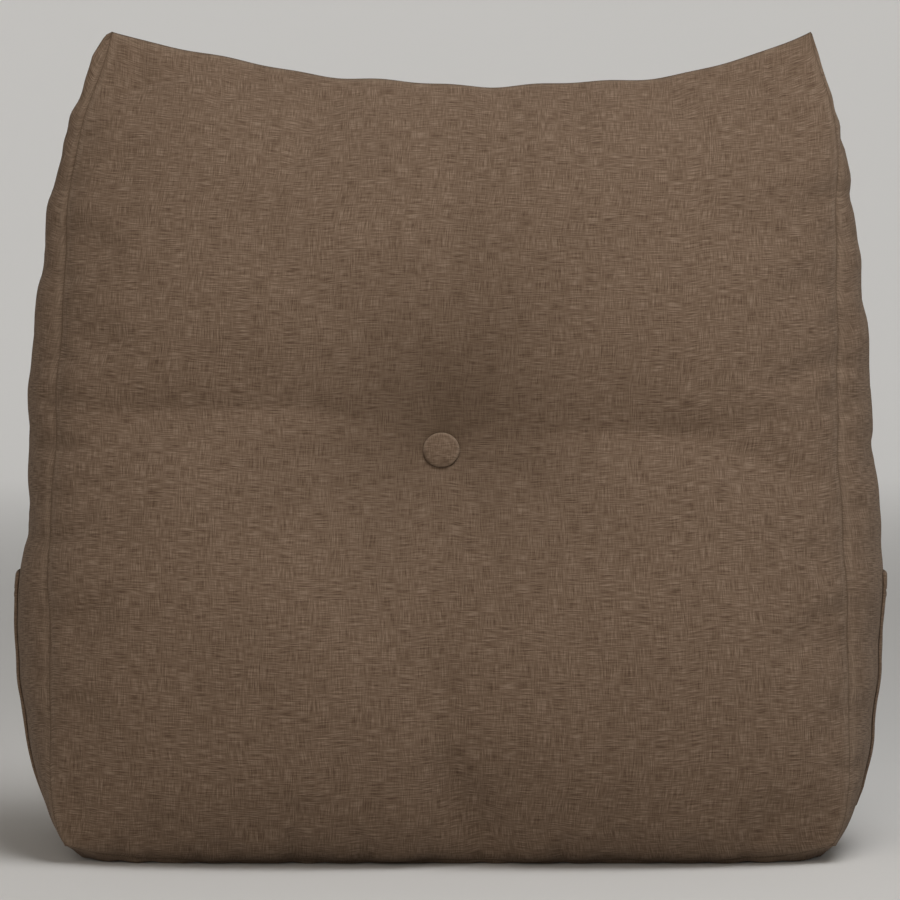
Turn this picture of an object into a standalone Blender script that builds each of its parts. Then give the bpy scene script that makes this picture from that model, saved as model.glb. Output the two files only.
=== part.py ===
"""Wedge backrest pillow, filled, with one covered button and a patch pocket on each side.

Metres, +Z up. It stands on its base at Z = 0 with its sloped front panel facing -Y, and its
origin is the centre of its footprint on the floor.

The filled body is five sewn panels: front, back, base and two triangular sides. Each panel is
a grid of points from its own function, and neighbouring panels share the points of their seam.
ACROSS runs from -1 at the left seam to 1 at the right one, UP from 0 at the base to 1 at the
top, and DEEP from 0 at the front seam of a side to 1 at its back seam.
"""

import math

import bmesh
import bpy
from mathutils import Vector

# Overall sizes
CORNER_HEIGHT = 0.494        # floor to the tips of the two top corners
BASE_SEAM_HEIGHT = 0.022     # floor to the lower ends of the side seams

# Sections through the body, equally spaced from the base seam to the tips of the corners.
# The seams are the edges of the side panels; a bulge is how far a side stands out past them.
SECTION_COLUMNS = (
    "left_seam", "right_seam", "left_bulge", "right_bulge", "front_seam", "back_seam")
SECTIONS = (
    (-0.232, 0.233, 0.006, 0.008, -0.074, 0.088),
    (-0.235, 0.236, 0.020, 0.020, -0.066, 0.093),
    (-0.236, 0.237, 0.024, 0.024, -0.050, 0.095),
    (-0.239, 0.236, 0.018, 0.027, -0.030, 0.096),
    (-0.236, 0.234, 0.019, 0.024, -0.009, 0.096),
    (-0.235, 0.235, 0.018, 0.021, 0.013, 0.095),
    (-0.232, 0.232, 0.014, 0.019, 0.036, 0.092),
    (-0.225, 0.230, 0.009, 0.011, 0.058, 0.088),
    (-0.204, 0.218, 0.009, 0.012, 0.080, 0.080),
)

# Top seam: it hangs between the corners, more squarely on the right than on the left.
RIDGE_DIP = 0.033
RIDGE_DIP_POWER = {"left": 1.75, "right": 3.2}
TIP_SHARE = 0.03             # share of the height over which a side closes to its tip
RIDGE_LEAN = 0.006           # how far its middle lies in front of its ends
RIDGE_DIP_FADE = 2.4         # how fast the dip dies out below the seam

# Bottom seams: between the corners they drop towards the floor and are rolled under.
BASE_SEAM_DROP = 0.019
BASE_SEAM_SQUARENESS = 6.0
BASE_SIDE_DROP = 0.008
BASE_SEAM_FADE = 9.0
BASE_BULGE = 0.080           # how far the base would hang below its seams with no floor
BASE_BULGE_SOFTNESS = 1.6    # over 1 makes it leave its seams gently

# Crowns of the panels
FRONT_CROWN = 0.060
BACK_CROWN = 0.013
CROWN_ROUNDNESS_ACROSS = 2.6
CROWN_ROUNDNESS_UP = 2.4
CROWN_EDGE = 0.62            # under 1 makes the crown rise steeply from its seams
FRONT_CROWN_LOW = 0.80       # under 1 moves the fullest part of the front downwards
SIDE_ROUNDNESS = 2.2

# Button and the dimple that it pulls into the front
BUTTON_X = -0.004
BUTTON_Z = 0.2403
BUTTON_RADIUS = 0.0108
BUTTON_DOME = 0.0046
BUTTON_RIM_LIFT = 0.0046     # the rim stands clear of the dimple's wall
BUTTON_FOOT_RADIUS = 0.004
BUTTON_TUCK = 0.0008         # the cloth turns in under the rim by this much
BUTTON_STEPS = 24
DOME_STEPS = 5
SEAT_RADIUS = 0.009
DIMPLE_DEPTH = 0.036
DIMPLE_REACH = 0.064
DIMPLE_POWER = 1.15

PULL_NEAR_SEAMS = 1.6        # over 1 keeps the pull nearly whole until close to the seams

# Valleys that the button's pull folds into the front, each through points (x, z) from the
# button outwards. Depths are next to the button and at the far end, and the widths are how
# fast a valley's two walls die out: the upper quarters lean over the lower ones.
VALLEYS = (
    {"name": "left", "near_depth": 0.019, "far_depth": 0.010,
     "width_above": 0.042, "width_below": 0.055,
     "points": ((-0.016, 0.245), (-0.045, 0.257), (-0.085, 0.265), (-0.162, 0.264),
                (-0.240, 0.260))},
    {"name": "right", "near_depth": 0.019, "far_depth": 0.007,
     "width_above": 0.048, "width_below": 0.050,
     "points": ((0.008, 0.244), (0.057, 0.250), (0.102, 0.252), (0.144, 0.249),
                (0.178, 0.237), (0.240, 0.213))},
    {"name": "upper", "near_depth": 0.013, "far_depth": 0.005,
     "width_above": 0.034, "width_below": 0.034,
     "points": ((-0.001, 0.255), (0.002, 0.303), (0.006, 0.372), (0.008, 0.460))},
    {"name": "lower", "near_depth": 0.011, "far_depth": 0.008,
     "width_above": 0.034, "width_below": 0.034,
     "points": ((-0.004, 0.225), (-0.002, 0.174), (-0.010, 0.126), (0.000, 0.055), (0.024, 0.010))},
)

# Side pockets: flat patches of the cover's cloth with a hem along the open top edge
POCKET_TOP = 0.165
POCKET_FRONT = 0.27          # DEEP between which the pocket's columns lie
POCKET_BACK = 0.96
POCKET_CLOTH = 0.0014
POCKET_HEM = 0.0029
HEM_ROWS = 2                 # rows of points, from the open edge down
GAP = 0.0003                 # between pieces that touch

# Grids: steps along each panel, closer together at the seams and at the button
STEPS_ACROSS = 34
STEPS_UP = 35
STEPS_DEEP = 12
CLOSENESS = 0.45
WELD = 0.00001
PROBE = 0.002                # step for measuring which way a surface faces
HALVINGS = 40                # steps of the search for a height on the front

# Finishes
CLOTH_COLOUR = (0.165, 0.118, 0.082, 1.0)
CLOTH_ROUGHNESS = 0.92


def clear_scene():
    for item in list(bpy.data.objects):
        bpy.data.objects.remove(item, do_unlink=True)


def mix(low, high, share):
    return low + (high - low) * share


def section(column, up):
    """Read one column of SECTIONS at a height, along a smooth curve through the rows."""
    index = SECTION_COLUMNS.index(column)
    values = [row[index] for row in SECTIONS]
    place = min(max(up, 0.0), 1.0) * (len(values) - 1)
    row = min(int(place), len(values) - 2)
    t = place - row
    before = values[max(row - 1, 0)]
    start, end = values[row], values[row + 1]
    after = values[min(row + 2, len(values) - 1)]
    rise_start = (end - before) / 2.0
    rise_end = (after - start) / 2.0
    return (start * (2 * t**3 - 3 * t**2 + 1) + rise_start * (t**3 - 2 * t**2 + t)
            + end * (3 * t**2 - 2 * t**3) + rise_end * (t**3 - t**2))


def hump(place, roundness):
    """1 in the middle of -1..1 and 0 at both ends, with steep flanks."""
    return max(1.0 - abs(place) ** roundness, 0.0) ** CROWN_EDGE


def ridge_dip(across):
    side = "left" if across < 0.0 else "right"
    return RIDGE_DIP * (1.0 - abs(across) ** RIDGE_DIP_POWER[side])


def seam_height(across, up):
    """Height of a front or back panel's point, before anything moves it forwards."""
    straight = mix(BASE_SEAM_HEIGHT, CORNER_HEIGHT, up)
    drop = BASE_SEAM_DROP * (1.0 - abs(across) ** BASE_SEAM_SQUARENESS)
    return straight - ridge_dip(across) * up**RIDGE_DIP_FADE - drop * (1.0 - up) ** BASE_SEAM_FADE


def seam_x(across, up):
    return mix(section("left_seam", up), section("right_seam", up), (across + 1.0) / 2.0)


def nearest_on_valley(x, z, points):
    """Gap from (x, z) to a chain of points, how far along it that is, and if (x, z) is above."""
    lengths = [math.dist(a, b) for a, b in zip(points, points[1:])]
    nearest = (float("inf"), 0.0, False)
    passed = 0.0
    for a, b, length in zip(points, points[1:], lengths):
        t = ((x - a[0]) * (b[0] - a[0]) + (z - a[1]) * (b[1] - a[1])) / length**2
        t = min(max(t, 0.0), 1.0)
        foot = (mix(a[0], b[0], t), mix(a[1], b[1], t))
        along = (passed + t * length) / sum(lengths)
        nearest = min(nearest, (math.dist((x, z), foot), along, z > foot[1]))
        passed += length
    return nearest


def pulled_in(x, z):
    """How far the button draws the front back at (x, z): its dimple and the folds around it."""
    beyond_seat = max(math.dist((x, z), (BUTTON_X, BUTTON_Z)) - SEAT_RADIUS, 0.0)
    pull = math.exp(-((beyond_seat / DIMPLE_REACH) ** DIMPLE_POWER))
    depth = DIMPLE_DEPTH * pull
    for valley in VALLEYS:
        gap, along, above = nearest_on_valley(x, z, valley["points"])
        width = valley["width_above"] if above else valley["width_below"]
        fold = mix(valley["near_depth"], valley["far_depth"], along) * math.exp(-gap / width)
        depth += fold * (1.0 - pull)
    return depth


def front_point(across, up):
    x = seam_x(across, up)
    z = seam_height(across, up)
    upright = hump(2.0 * up**FRONT_CROWN_LOW - 1.0, CROWN_ROUNDNESS_UP)
    edge = hump(across, CROWN_ROUNDNESS_ACROSS) * upright
    lean = RIDGE_LEAN * (1.0 - across**2) * up
    pull = pulled_in(x, z) * min(edge * PULL_NEAR_SEAMS, 1.0)
    y = section("front_seam", up) - lean - FRONT_CROWN * edge + pull
    return Vector((x, y, z))


def back_point(across, up):
    edge = hump(across, CROWN_ROUNDNESS_ACROSS) * hump(2.0 * up - 1.0, CROWN_ROUNDNESS_UP)
    lean = RIDGE_LEAN * (1.0 - across**2) * up**8
    y = section("back_seam", up) - lean + BACK_CROWN * edge
    return Vector((seam_x(across, up), y, seam_height(across, up)))


def side_point(side, deep, up):
    """A point of a side panel; side is -1 on the left and 1 on the right."""
    name = "left" if side < 0 else "right"
    closing = math.sqrt(min((1.0 - up) / TIP_SHARE, 1.0))
    out = section(name + "_bulge", up) * closing * hump(2.0 * deep - 1.0, SIDE_ROUNDNESS)
    x = section(name + "_seam", up) + side * out
    y = mix(section("front_seam", up), section("back_seam", up), deep)
    drop = BASE_SIDE_DROP * hump(2.0 * deep - 1.0, SIDE_ROUNDNESS) * (1.0 - up) ** BASE_SEAM_FADE
    z = mix(BASE_SEAM_HEIGHT, CORNER_HEIGHT, up) - drop
    return Vector((x, y, z))


def base_point(across, deep):
    """A point of the base: it hangs below its seams, and the floor flattens it."""
    front, back = front_point(across, 0.0), back_point(across, 0.0)
    left, right = side_point(-1, deep, 0.0), side_point(1, deep, 0.0)
    share = (across + 1.0) / 2.0
    corners = [mix(side_point(-1, d, 0.0), side_point(1, d, 0.0), share) for d in (0.0, 1.0)]
    # The four seams around the base, blended so that the panel meets each of them
    point = mix(front, back, deep) + mix(left, right, share) - mix(corners[0], corners[1], deep)
    edge = hump(across, CROWN_ROUNDNESS_ACROSS) * hump(2.0 * deep - 1.0, SIDE_ROUNDNESS)
    point.z = max(point.z - BASE_BULGE * edge**BASE_BULGE_SOFTNESS, 0.0)
    return point


def spacing(steps, fine_spots):
    """Places from 0 to 1 that lie closer together at the ends and at the inner fine spots."""
    waves = 2.0 * math.pi * fine_spots
    return [i / steps - CLOSENESS * math.sin(waves * i / steps) / waves for i in range(steps + 1)]


ACROSS = [2.0 * place - 1.0 for place in spacing(STEPS_ACROSS, 2)]
UP = spacing(STEPS_UP, 2)
DEEP = spacing(STEPS_DEEP, 1)


def add_grid(mesh, rows, flip=False):
    """Add a grid of points as triangles; rows is a list of equally long lists of points."""
    corners = [[mesh.verts.new(point) for point in row] for row in rows]
    for low, high in zip(corners, corners[1:]):
        for i in range(len(low) - 1):
            for face in ((low[i], low[i + 1], high[i + 1]), (low[i], high[i + 1], high[i])):
                mesh.faces.new(face[::-1] if flip else face)


def make_object(name, mesh_data, material, sharp_degrees):
    """Weld the seams, close up the collapsed rows and put the result in the scene."""
    bmesh.ops.remove_doubles(mesh_data, verts=mesh_data.verts, dist=WELD)
    bmesh.ops.dissolve_degenerate(mesh_data, edges=mesh_data.edges, dist=WELD)
    mesh = bpy.data.meshes.new(name)
    mesh_data.to_mesh(mesh)
    mesh_data.free()
    mesh.materials.append(material)
    mesh.shade_smooth()
    mesh.set_sharp_from_angle(angle=math.radians(sharp_degrees))
    item = bpy.data.objects.new(name, mesh)
    bpy.context.scene.collection.objects.link(item)
    return item


def cloth_material(name):
    material = bpy.data.materials.new(name)
    material.use_nodes = True
    shader = material.node_tree.nodes["Principled BSDF"]
    shader.inputs["Base Color"].default_value = CLOTH_COLOUR
    shader.inputs["Roughness"].default_value = CLOTH_ROUGHNESS
    shader.inputs["Metallic"].default_value = 0.0
    return material


def make_cushion():
    mesh = bmesh.new()
    add_grid(mesh, [[front_point(s, up) for s in ACROSS] for up in UP])
    add_grid(mesh, [[back_point(s, up) for s in ACROSS] for up in UP], flip=True)
    add_grid(mesh, [[base_point(s, deep) for s in ACROSS] for deep in DEEP], flip=True)
    add_grid(mesh, [[side_point(1, deep, up) for deep in DEEP] for up in UP])
    add_grid(mesh, [[side_point(-1, deep, up) for deep in DEEP] for up in UP], flip=True)
    return make_object("cushion", mesh, cloth_material("Cushion cloth"), 50)


def side_normal(side, deep, up):
    along = side_point(side, deep + PROBE, up) - side_point(side, deep - PROBE, up)
    rise = side_point(side, deep, up + PROBE) - side_point(side, deep, up - PROBE)
    return side * along.cross(rise).normalized()


def make_pocket(name, side):
    """A sheet on the side panel's own grid, so that its inner face follows that panel."""
    columns = [deep for deep in DEEP if POCKET_FRONT <= deep <= POCKET_BACK]
    share_of_height = (POCKET_TOP - BASE_SEAM_HEIGHT) / (CORNER_HEIGHT - BASE_SEAM_HEIGHT)
    top = min(range(len(UP)), key=lambda row: abs(UP[row] - share_of_height))
    rows = UP[1:top + 1]
    hem_starts = rows[-HEM_ROWS]

    def layer(outer):
        grid = []
        for up in rows:
            thickness = POCKET_HEM if up >= hem_starts else POCKET_CLOTH
            lift = GAP + (thickness if outer else 0.0)
            grid.append([side_point(side, d, up) + side_normal(side, d, up) * lift for d in columns])
        return grid

    inner, outer = layer(False), layer(True)
    mesh = bmesh.new()
    add_grid(mesh, outer, flip=side < 0)
    add_grid(mesh, inner, flip=side > 0)
    rims = (
        (outer[0], inner[0]),
        (inner[-1], outer[-1]),
        ([row[0] for row in inner], [row[0] for row in outer]),
        ([row[-1] for row in outer], [row[-1] for row in inner]),
    )
    for low, high in rims:
        add_grid(mesh, [high, low], flip=side < 0)
    return make_object(name, mesh, cloth_material(name.replace("_", " ") + " cloth"), 40)


def place_on_front(x, z):
    """The (across, up) of the front panel's point at (x, z)."""
    low, high = 0.0, 1.0
    for _ in range(HALVINGS):
        up = (low + high) / 2.0
        left, right = section("left_seam", up), section("right_seam", up)
        across = 2.0 * (x - left) / (right - left) - 1.0
        low, high = (up, high) if seam_height(across, up) < z else (low, up)
    return across, up


def button_rings():
    """The button's outline from its foot to the dome, as (radius, height above the seat)."""
    rings = [
        (BUTTON_FOOT_RADIUS, GAP),
        (BUTTON_RADIUS - BUTTON_TUCK, BUTTON_RIM_LIFT - BUTTON_TUCK),
    ]
    for step in range(DOME_STEPS):
        turn = math.pi / 2.0 * step / DOME_STEPS
        rings.append((BUTTON_RADIUS * math.cos(turn), BUTTON_RIM_LIFT + BUTTON_DOME * math.sin(turn)))
    return rings


def make_button():
    """A covered button: a low dome over a rim that tapers in to the foot under it."""
    across, up = place_on_front(BUTTON_X, BUTTON_Z)
    seat = front_point(across, up)
    sideways = front_point(across + PROBE, up) - front_point(across - PROBE, up)
    upwards = front_point(across, up + PROBE) - front_point(across, up - PROBE)
    stand = Vector((0.0, 0.0, 1.0)).rotation_difference(sideways.cross(upwards)).to_matrix()

    mesh = bmesh.new()
    loops = []
    for radius, height in button_rings():
        angles = [2.0 * math.pi * i / BUTTON_STEPS for i in range(BUTTON_STEPS)]
        circle = [Vector((radius * math.cos(a), radius * math.sin(a), height)) for a in angles]
        loops.append([mesh.verts.new(seat + stand @ point) for point in circle])
    for low, high in zip(loops, loops[1:]):
        for i in range(BUTTON_STEPS):
            after = (i + 1) % BUTTON_STEPS
            mesh.faces.new((low[i], low[after], high[after], high[i]))
    mesh.faces.new(loops[0][::-1])
    top = mesh.verts.new(seat + stand @ Vector((0.0, 0.0, BUTTON_RIM_LIFT + BUTTON_DOME)))
    for i in range(BUTTON_STEPS):
        mesh.faces.new((loops[-1][i], loops[-1][(i + 1) % BUTTON_STEPS], top))
    return make_object("tuft_button", mesh, cloth_material("Button cloth"), 50)


def centre_on_footprint(items):
    """Move every piece so that the origin is in the middle of the part's width and depth."""
    points = [vertex.co for item in items for vertex in item.data.vertices]
    centre_x = (min(p.x for p in points) + max(p.x for p in points)) / 2.0
    centre_y = (min(p.y for p in points) + max(p.y for p in points)) / 2.0
    for item in items:
        item.location = (-centre_x, -centre_y, 0.0)


def main():
    clear_scene()
    pieces = [
        make_cushion(),
        make_button(),
        make_pocket("side_pocket_left", -1),
        make_pocket("side_pocket_right", 1),
    ]
    centre_on_footprint(pieces)


main()
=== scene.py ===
# %% [markdown]
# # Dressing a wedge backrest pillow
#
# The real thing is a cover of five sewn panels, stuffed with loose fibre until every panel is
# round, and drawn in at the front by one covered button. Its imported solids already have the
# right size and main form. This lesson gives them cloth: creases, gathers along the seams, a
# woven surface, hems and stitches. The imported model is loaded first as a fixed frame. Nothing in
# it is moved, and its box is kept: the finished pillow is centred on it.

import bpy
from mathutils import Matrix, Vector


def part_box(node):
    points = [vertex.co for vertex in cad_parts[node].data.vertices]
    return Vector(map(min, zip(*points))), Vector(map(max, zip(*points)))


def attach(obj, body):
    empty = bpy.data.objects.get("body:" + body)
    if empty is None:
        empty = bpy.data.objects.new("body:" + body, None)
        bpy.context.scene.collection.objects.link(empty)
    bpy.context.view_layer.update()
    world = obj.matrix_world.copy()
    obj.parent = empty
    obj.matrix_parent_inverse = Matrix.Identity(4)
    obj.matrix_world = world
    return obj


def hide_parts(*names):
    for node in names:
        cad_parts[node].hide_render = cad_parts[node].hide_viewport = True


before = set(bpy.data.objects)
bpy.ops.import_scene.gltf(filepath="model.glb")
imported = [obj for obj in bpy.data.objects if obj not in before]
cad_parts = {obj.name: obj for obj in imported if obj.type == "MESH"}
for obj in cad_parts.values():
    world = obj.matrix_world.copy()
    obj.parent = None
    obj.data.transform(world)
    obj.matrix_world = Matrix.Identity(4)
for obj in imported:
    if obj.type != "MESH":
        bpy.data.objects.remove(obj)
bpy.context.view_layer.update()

# %% Modules
import math

import bpy
import numpy as np
from mathutils import Matrix, Vector

# %% [markdown]
# ## The camera
#
# The pillow is seen straight on from a little above its middle, by a long lens from some way
# off, so its sides hardly converge. A camera could be placed by eye, but one driving size does
# it here: how many metres of pillow one pixel of the picture covers. The focal length then
# follows from the distance.

# %% Camera
VIEW_DISTANCE = 2.4
VIEW_DOWN = math.radians(2.5)
AIM_HEIGHT = 0.239
METRES_PER_PIXEL = 0.0006
PICTURE_PIXELS = 900
SENSOR_MM = 36.0

camera_data = bpy.data.cameras.new("Photo camera")
camera_data.sensor_width = SENSOR_MM
camera_data.lens = SENSOR_MM * VIEW_DISTANCE / (METRES_PER_PIXEL * PICTURE_PIXELS)
camera = bpy.data.objects.new("Photo camera", camera_data)
camera.location = (
    0.0,
    -VIEW_DISTANCE * math.cos(VIEW_DOWN),
    AIM_HEIGHT + VIEW_DISTANCE * math.sin(VIEW_DOWN),
)
camera.rotation_euler = (math.pi / 2.0 - VIEW_DOWN, 0.0, 0.0)
bpy.context.scene.collection.objects.link(camera)
bpy.context.scene.camera = camera
print("Focal length", round(camera_data.lens, 1), "mm")

# %% [markdown]
# ## The stage
#
# A plain pale studio bowl: a flat floor whose rim curves up into a wall all round. It could be a
# plane and a backdrop, but then a camera behind the pillow would look at the back of the
# backdrop. A bowl wider than any camera's distance looks the same from every side. It is one
# profile of a few points, turned about the upright axis. Away from the pillow the paper glows a
# little, as if lit by lamps of its own, so that floor and wall run into each other.

# %% Stage
FLOOR_RADIUS = 4.4
RIM_RADIUS = 1.2
WALL_TOP = 3.2
RIM_STEPS = 10
STAGE_SEGMENTS = 72
STAGE_COLOUR = (0.55, 0.545, 0.535, 1.0)
GLOW = 0.55
GLOW_SPAN = (0.6, 5.2)


def plain_material(name, colour, roughness):
    material = bpy.data.materials.new(name)
    material.use_nodes = True
    shader = material.node_tree.nodes["Principled BSDF"]
    shader.inputs["Base Color"].default_value = colour
    shader.inputs["Roughness"].default_value = roughness
    return material


def new_object(name, mesh, *materials):
    for material in materials:
        mesh.materials.append(material)
    item = bpy.data.objects.new(name, mesh)
    bpy.context.scene.collection.objects.link(item)
    return item


def make_stage():
    turns = [math.pi / 2.0 * step / RIM_STEPS for step in range(RIM_STEPS + 1)]
    profile = [
        (FLOOR_RADIUS + RIM_RADIUS * math.sin(t), RIM_RADIUS * (1.0 - math.cos(t))) for t in turns]
    profile.append((FLOOR_RADIUS + RIM_RADIUS, WALL_TOP))
    angles = [2.0 * math.pi * i / STAGE_SEGMENTS for i in range(STAGE_SEGMENTS)]
    points = [(0.0, 0.0, 0.0)]
    points += [(r * math.cos(a), r * math.sin(a), z) for r, z in profile for a in angles]
    faces = []
    for i in range(STAGE_SEGMENTS):
        after = (i + 1) % STAGE_SEGMENTS
        faces.append((0, 1 + i, 1 + after))
        for ring in range(len(profile) - 1):
            low, high = 1 + ring * STAGE_SEGMENTS, 1 + (ring + 1) * STAGE_SEGMENTS
            faces.append((low + i, high + i, high + after, low + after))
    mesh = bpy.data.meshes.new("Studio bowl")
    mesh.from_pydata(points, [], faces)
    mesh.shade_smooth()
    paper = plain_material("Studio paper", STAGE_COLOUR, 0.9)
    tree = paper.node_tree
    place = tree.nodes.new("ShaderNodeTexCoord")
    away = tree.nodes.new("ShaderNodeVectorMath")
    away.operation = "LENGTH"
    glow = tree.nodes.new("ShaderNodeMapRange")
    glow.interpolation_type = "SMOOTHSTEP"
    for socket, value in zip(("From Min", "From Max", "To Min", "To Max"), (*GLOW_SPAN, 0.0, GLOW)):
        glow.inputs[socket].default_value = value
    shader = tree.nodes["Principled BSDF"]
    shader.inputs["Emission Color"].default_value = STAGE_COLOUR
    tree.links.new(place.outputs["Object"], away.inputs[0])
    tree.links.new(away.outputs["Value"], glow.inputs["Value"])
    tree.links.new(glow.outputs["Result"], shader.inputs["Emission Strength"])
    return new_object("Studio_bowl", mesh, paper)


stage = make_stage()
print("Stage with", len(stage.data.polygons), "faces")

# %% [markdown]
# ## The light
#
# The real pillow is lit softly from above, a little from the right: its upward slopes are pale,
# the slopes above the button dark, and no shadow has an edge. Small lamps would draw hard edges,
# so three large area lamps are used. One hangs above, in front and to the right, a weak one
# stands far to the right, a warm one fills the front from the left, and the sky adds the rest.

# %% Light
SKY_STRENGTH = 0.13
SKY_COLOUR = (1.0, 0.94, 0.86, 1.0)
LAMPS = (
    {"name": "Overhead softbox", "place": (0.66, -0.62, 2.25), "size": 1.3, "watts": 38.5,
     "colour": (1.0, 1.0, 1.0)},
    {"name": "Right softbox", "place": (1.9, -1.9, 1.7), "size": 1.6, "watts": 4.0,
     "colour": (1.0, 0.97, 0.93)},
    {"name": "Front fill", "place": (-1.0, -2.9, 1.5), "size": 2.2, "watts": 29.0,
     "colour": (1.0, 0.89, 0.77)},
)
LAMP_AIM = Vector((0.0, 0.0, 0.25))


def make_lamp(name, place, size, watts, colour):
    data = bpy.data.lights.new(name, "AREA")
    data.color = colour
    data.shape = "SQUARE"
    data.size = size
    data.energy = watts
    lamp = bpy.data.objects.new(name, data)
    lamp.location = place
    lamp.rotation_euler = (LAMP_AIM - Vector(place)).to_track_quat("-Z", "Y").to_euler()
    bpy.context.scene.collection.objects.link(lamp)


for lamp_row in LAMPS:
    make_lamp(**lamp_row)

sky = bpy.data.worlds.new("Studio sky")
bpy.context.scene.world = sky
sky.use_nodes = True
sky.node_tree.nodes["Background"].inputs["Color"].default_value = SKY_COLOUR
sky.node_tree.nodes["Background"].inputs["Strength"].default_value = SKY_STRENGTH
bpy.context.scene.view_settings.view_transform = "Standard"
print(len(LAMPS), "lamps and a sky of strength", SKY_STRENGTH)

# %% [markdown]
# ## Helpers for node trees
#
# Every finish below is a small tree of nodes. A few helpers keep the cells short: they add a
# node and set its values, do a sum, mix two colours, and open a group with named inputs and
# outputs.

# %% Node helpers


def add_node(tree, kind, inputs=None, **settings):
    """Add a node; inputs maps a socket's name or number to a value or to an output to link."""
    made = tree.nodes.new(kind)
    for key, value in settings.items():
        setattr(made, key, value)
    for key, value in (inputs or {}).items():
        if isinstance(value, bpy.types.NodeSocket):
            tree.links.new(value, made.inputs[key])
        else:
            made.inputs[key].default_value = value
    return made


def math_node(tree, operation, first, second=0.0, third=0.0):
    values = {0: first, 1: second, 2: third}
    return add_node(tree, "ShaderNodeMath", values, operation=operation).outputs[0]


def mix_colours(tree, share, first, second):
    return add_node(
        tree, "ShaderNodeMix", {"Factor": share, 6: first, 7: second},
        data_type="RGBA").outputs[2]


def open_group(name, kind, inputs, outputs):
    """A node group with sockets; inputs are (name, socket type, value), outputs (name, type)."""
    tree = bpy.data.node_groups.new(name, kind)
    for label, socket_type, value in inputs:
        socket = tree.interface.new_socket(label, in_out="INPUT", socket_type=socket_type)
        if value is not None:
            socket.default_value = value
    for label, socket_type in outputs:
        tree.interface.new_socket(label, in_out="OUTPUT", socket_type=socket_type)
    return tree, tree.nodes.new("NodeGroupInput"), tree.nodes.new("NodeGroupOutput")


# %% [markdown]
# ## The weave
#
# The cloth is a plain weave of uneven yarn, like heavy linen. Each yarn keeps its own shade for
# a centimetre or so, and thick and thin stretches follow each other. A picture of cloth would
# be quick, but here it is worked out: two noises, one drawn out along the lengthwise yarns and
# one along the crosswise yarns, and a chequer of sines that says which yarn lies on top. The
# cloth's own coordinates, in metres, come from each piece's UV map, so the yarns follow the
# panel as it was cut. One group serves cover, button and pockets, each with its own values.

# %% Weave group
YARN_NOISE_SCALE = 1.0
YARN_NOISE_DETAIL = 2.0
WEFT_OFFSET = 37.0
WEFT_SHARE = 0.60       # a little more of the crosswise yarn shows
CROSSING_SHARE = 0.10   # how clearly the yarns take turns on top
WANDER_SCALE = 0.05     # waves to a yarn's width, as are the next two
PATCH_SCALE = 0.045
FUZZ_SCALE = 1.7
PATCH_LEAN = 1.5        # how far a patch leans to one set of yarns


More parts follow.
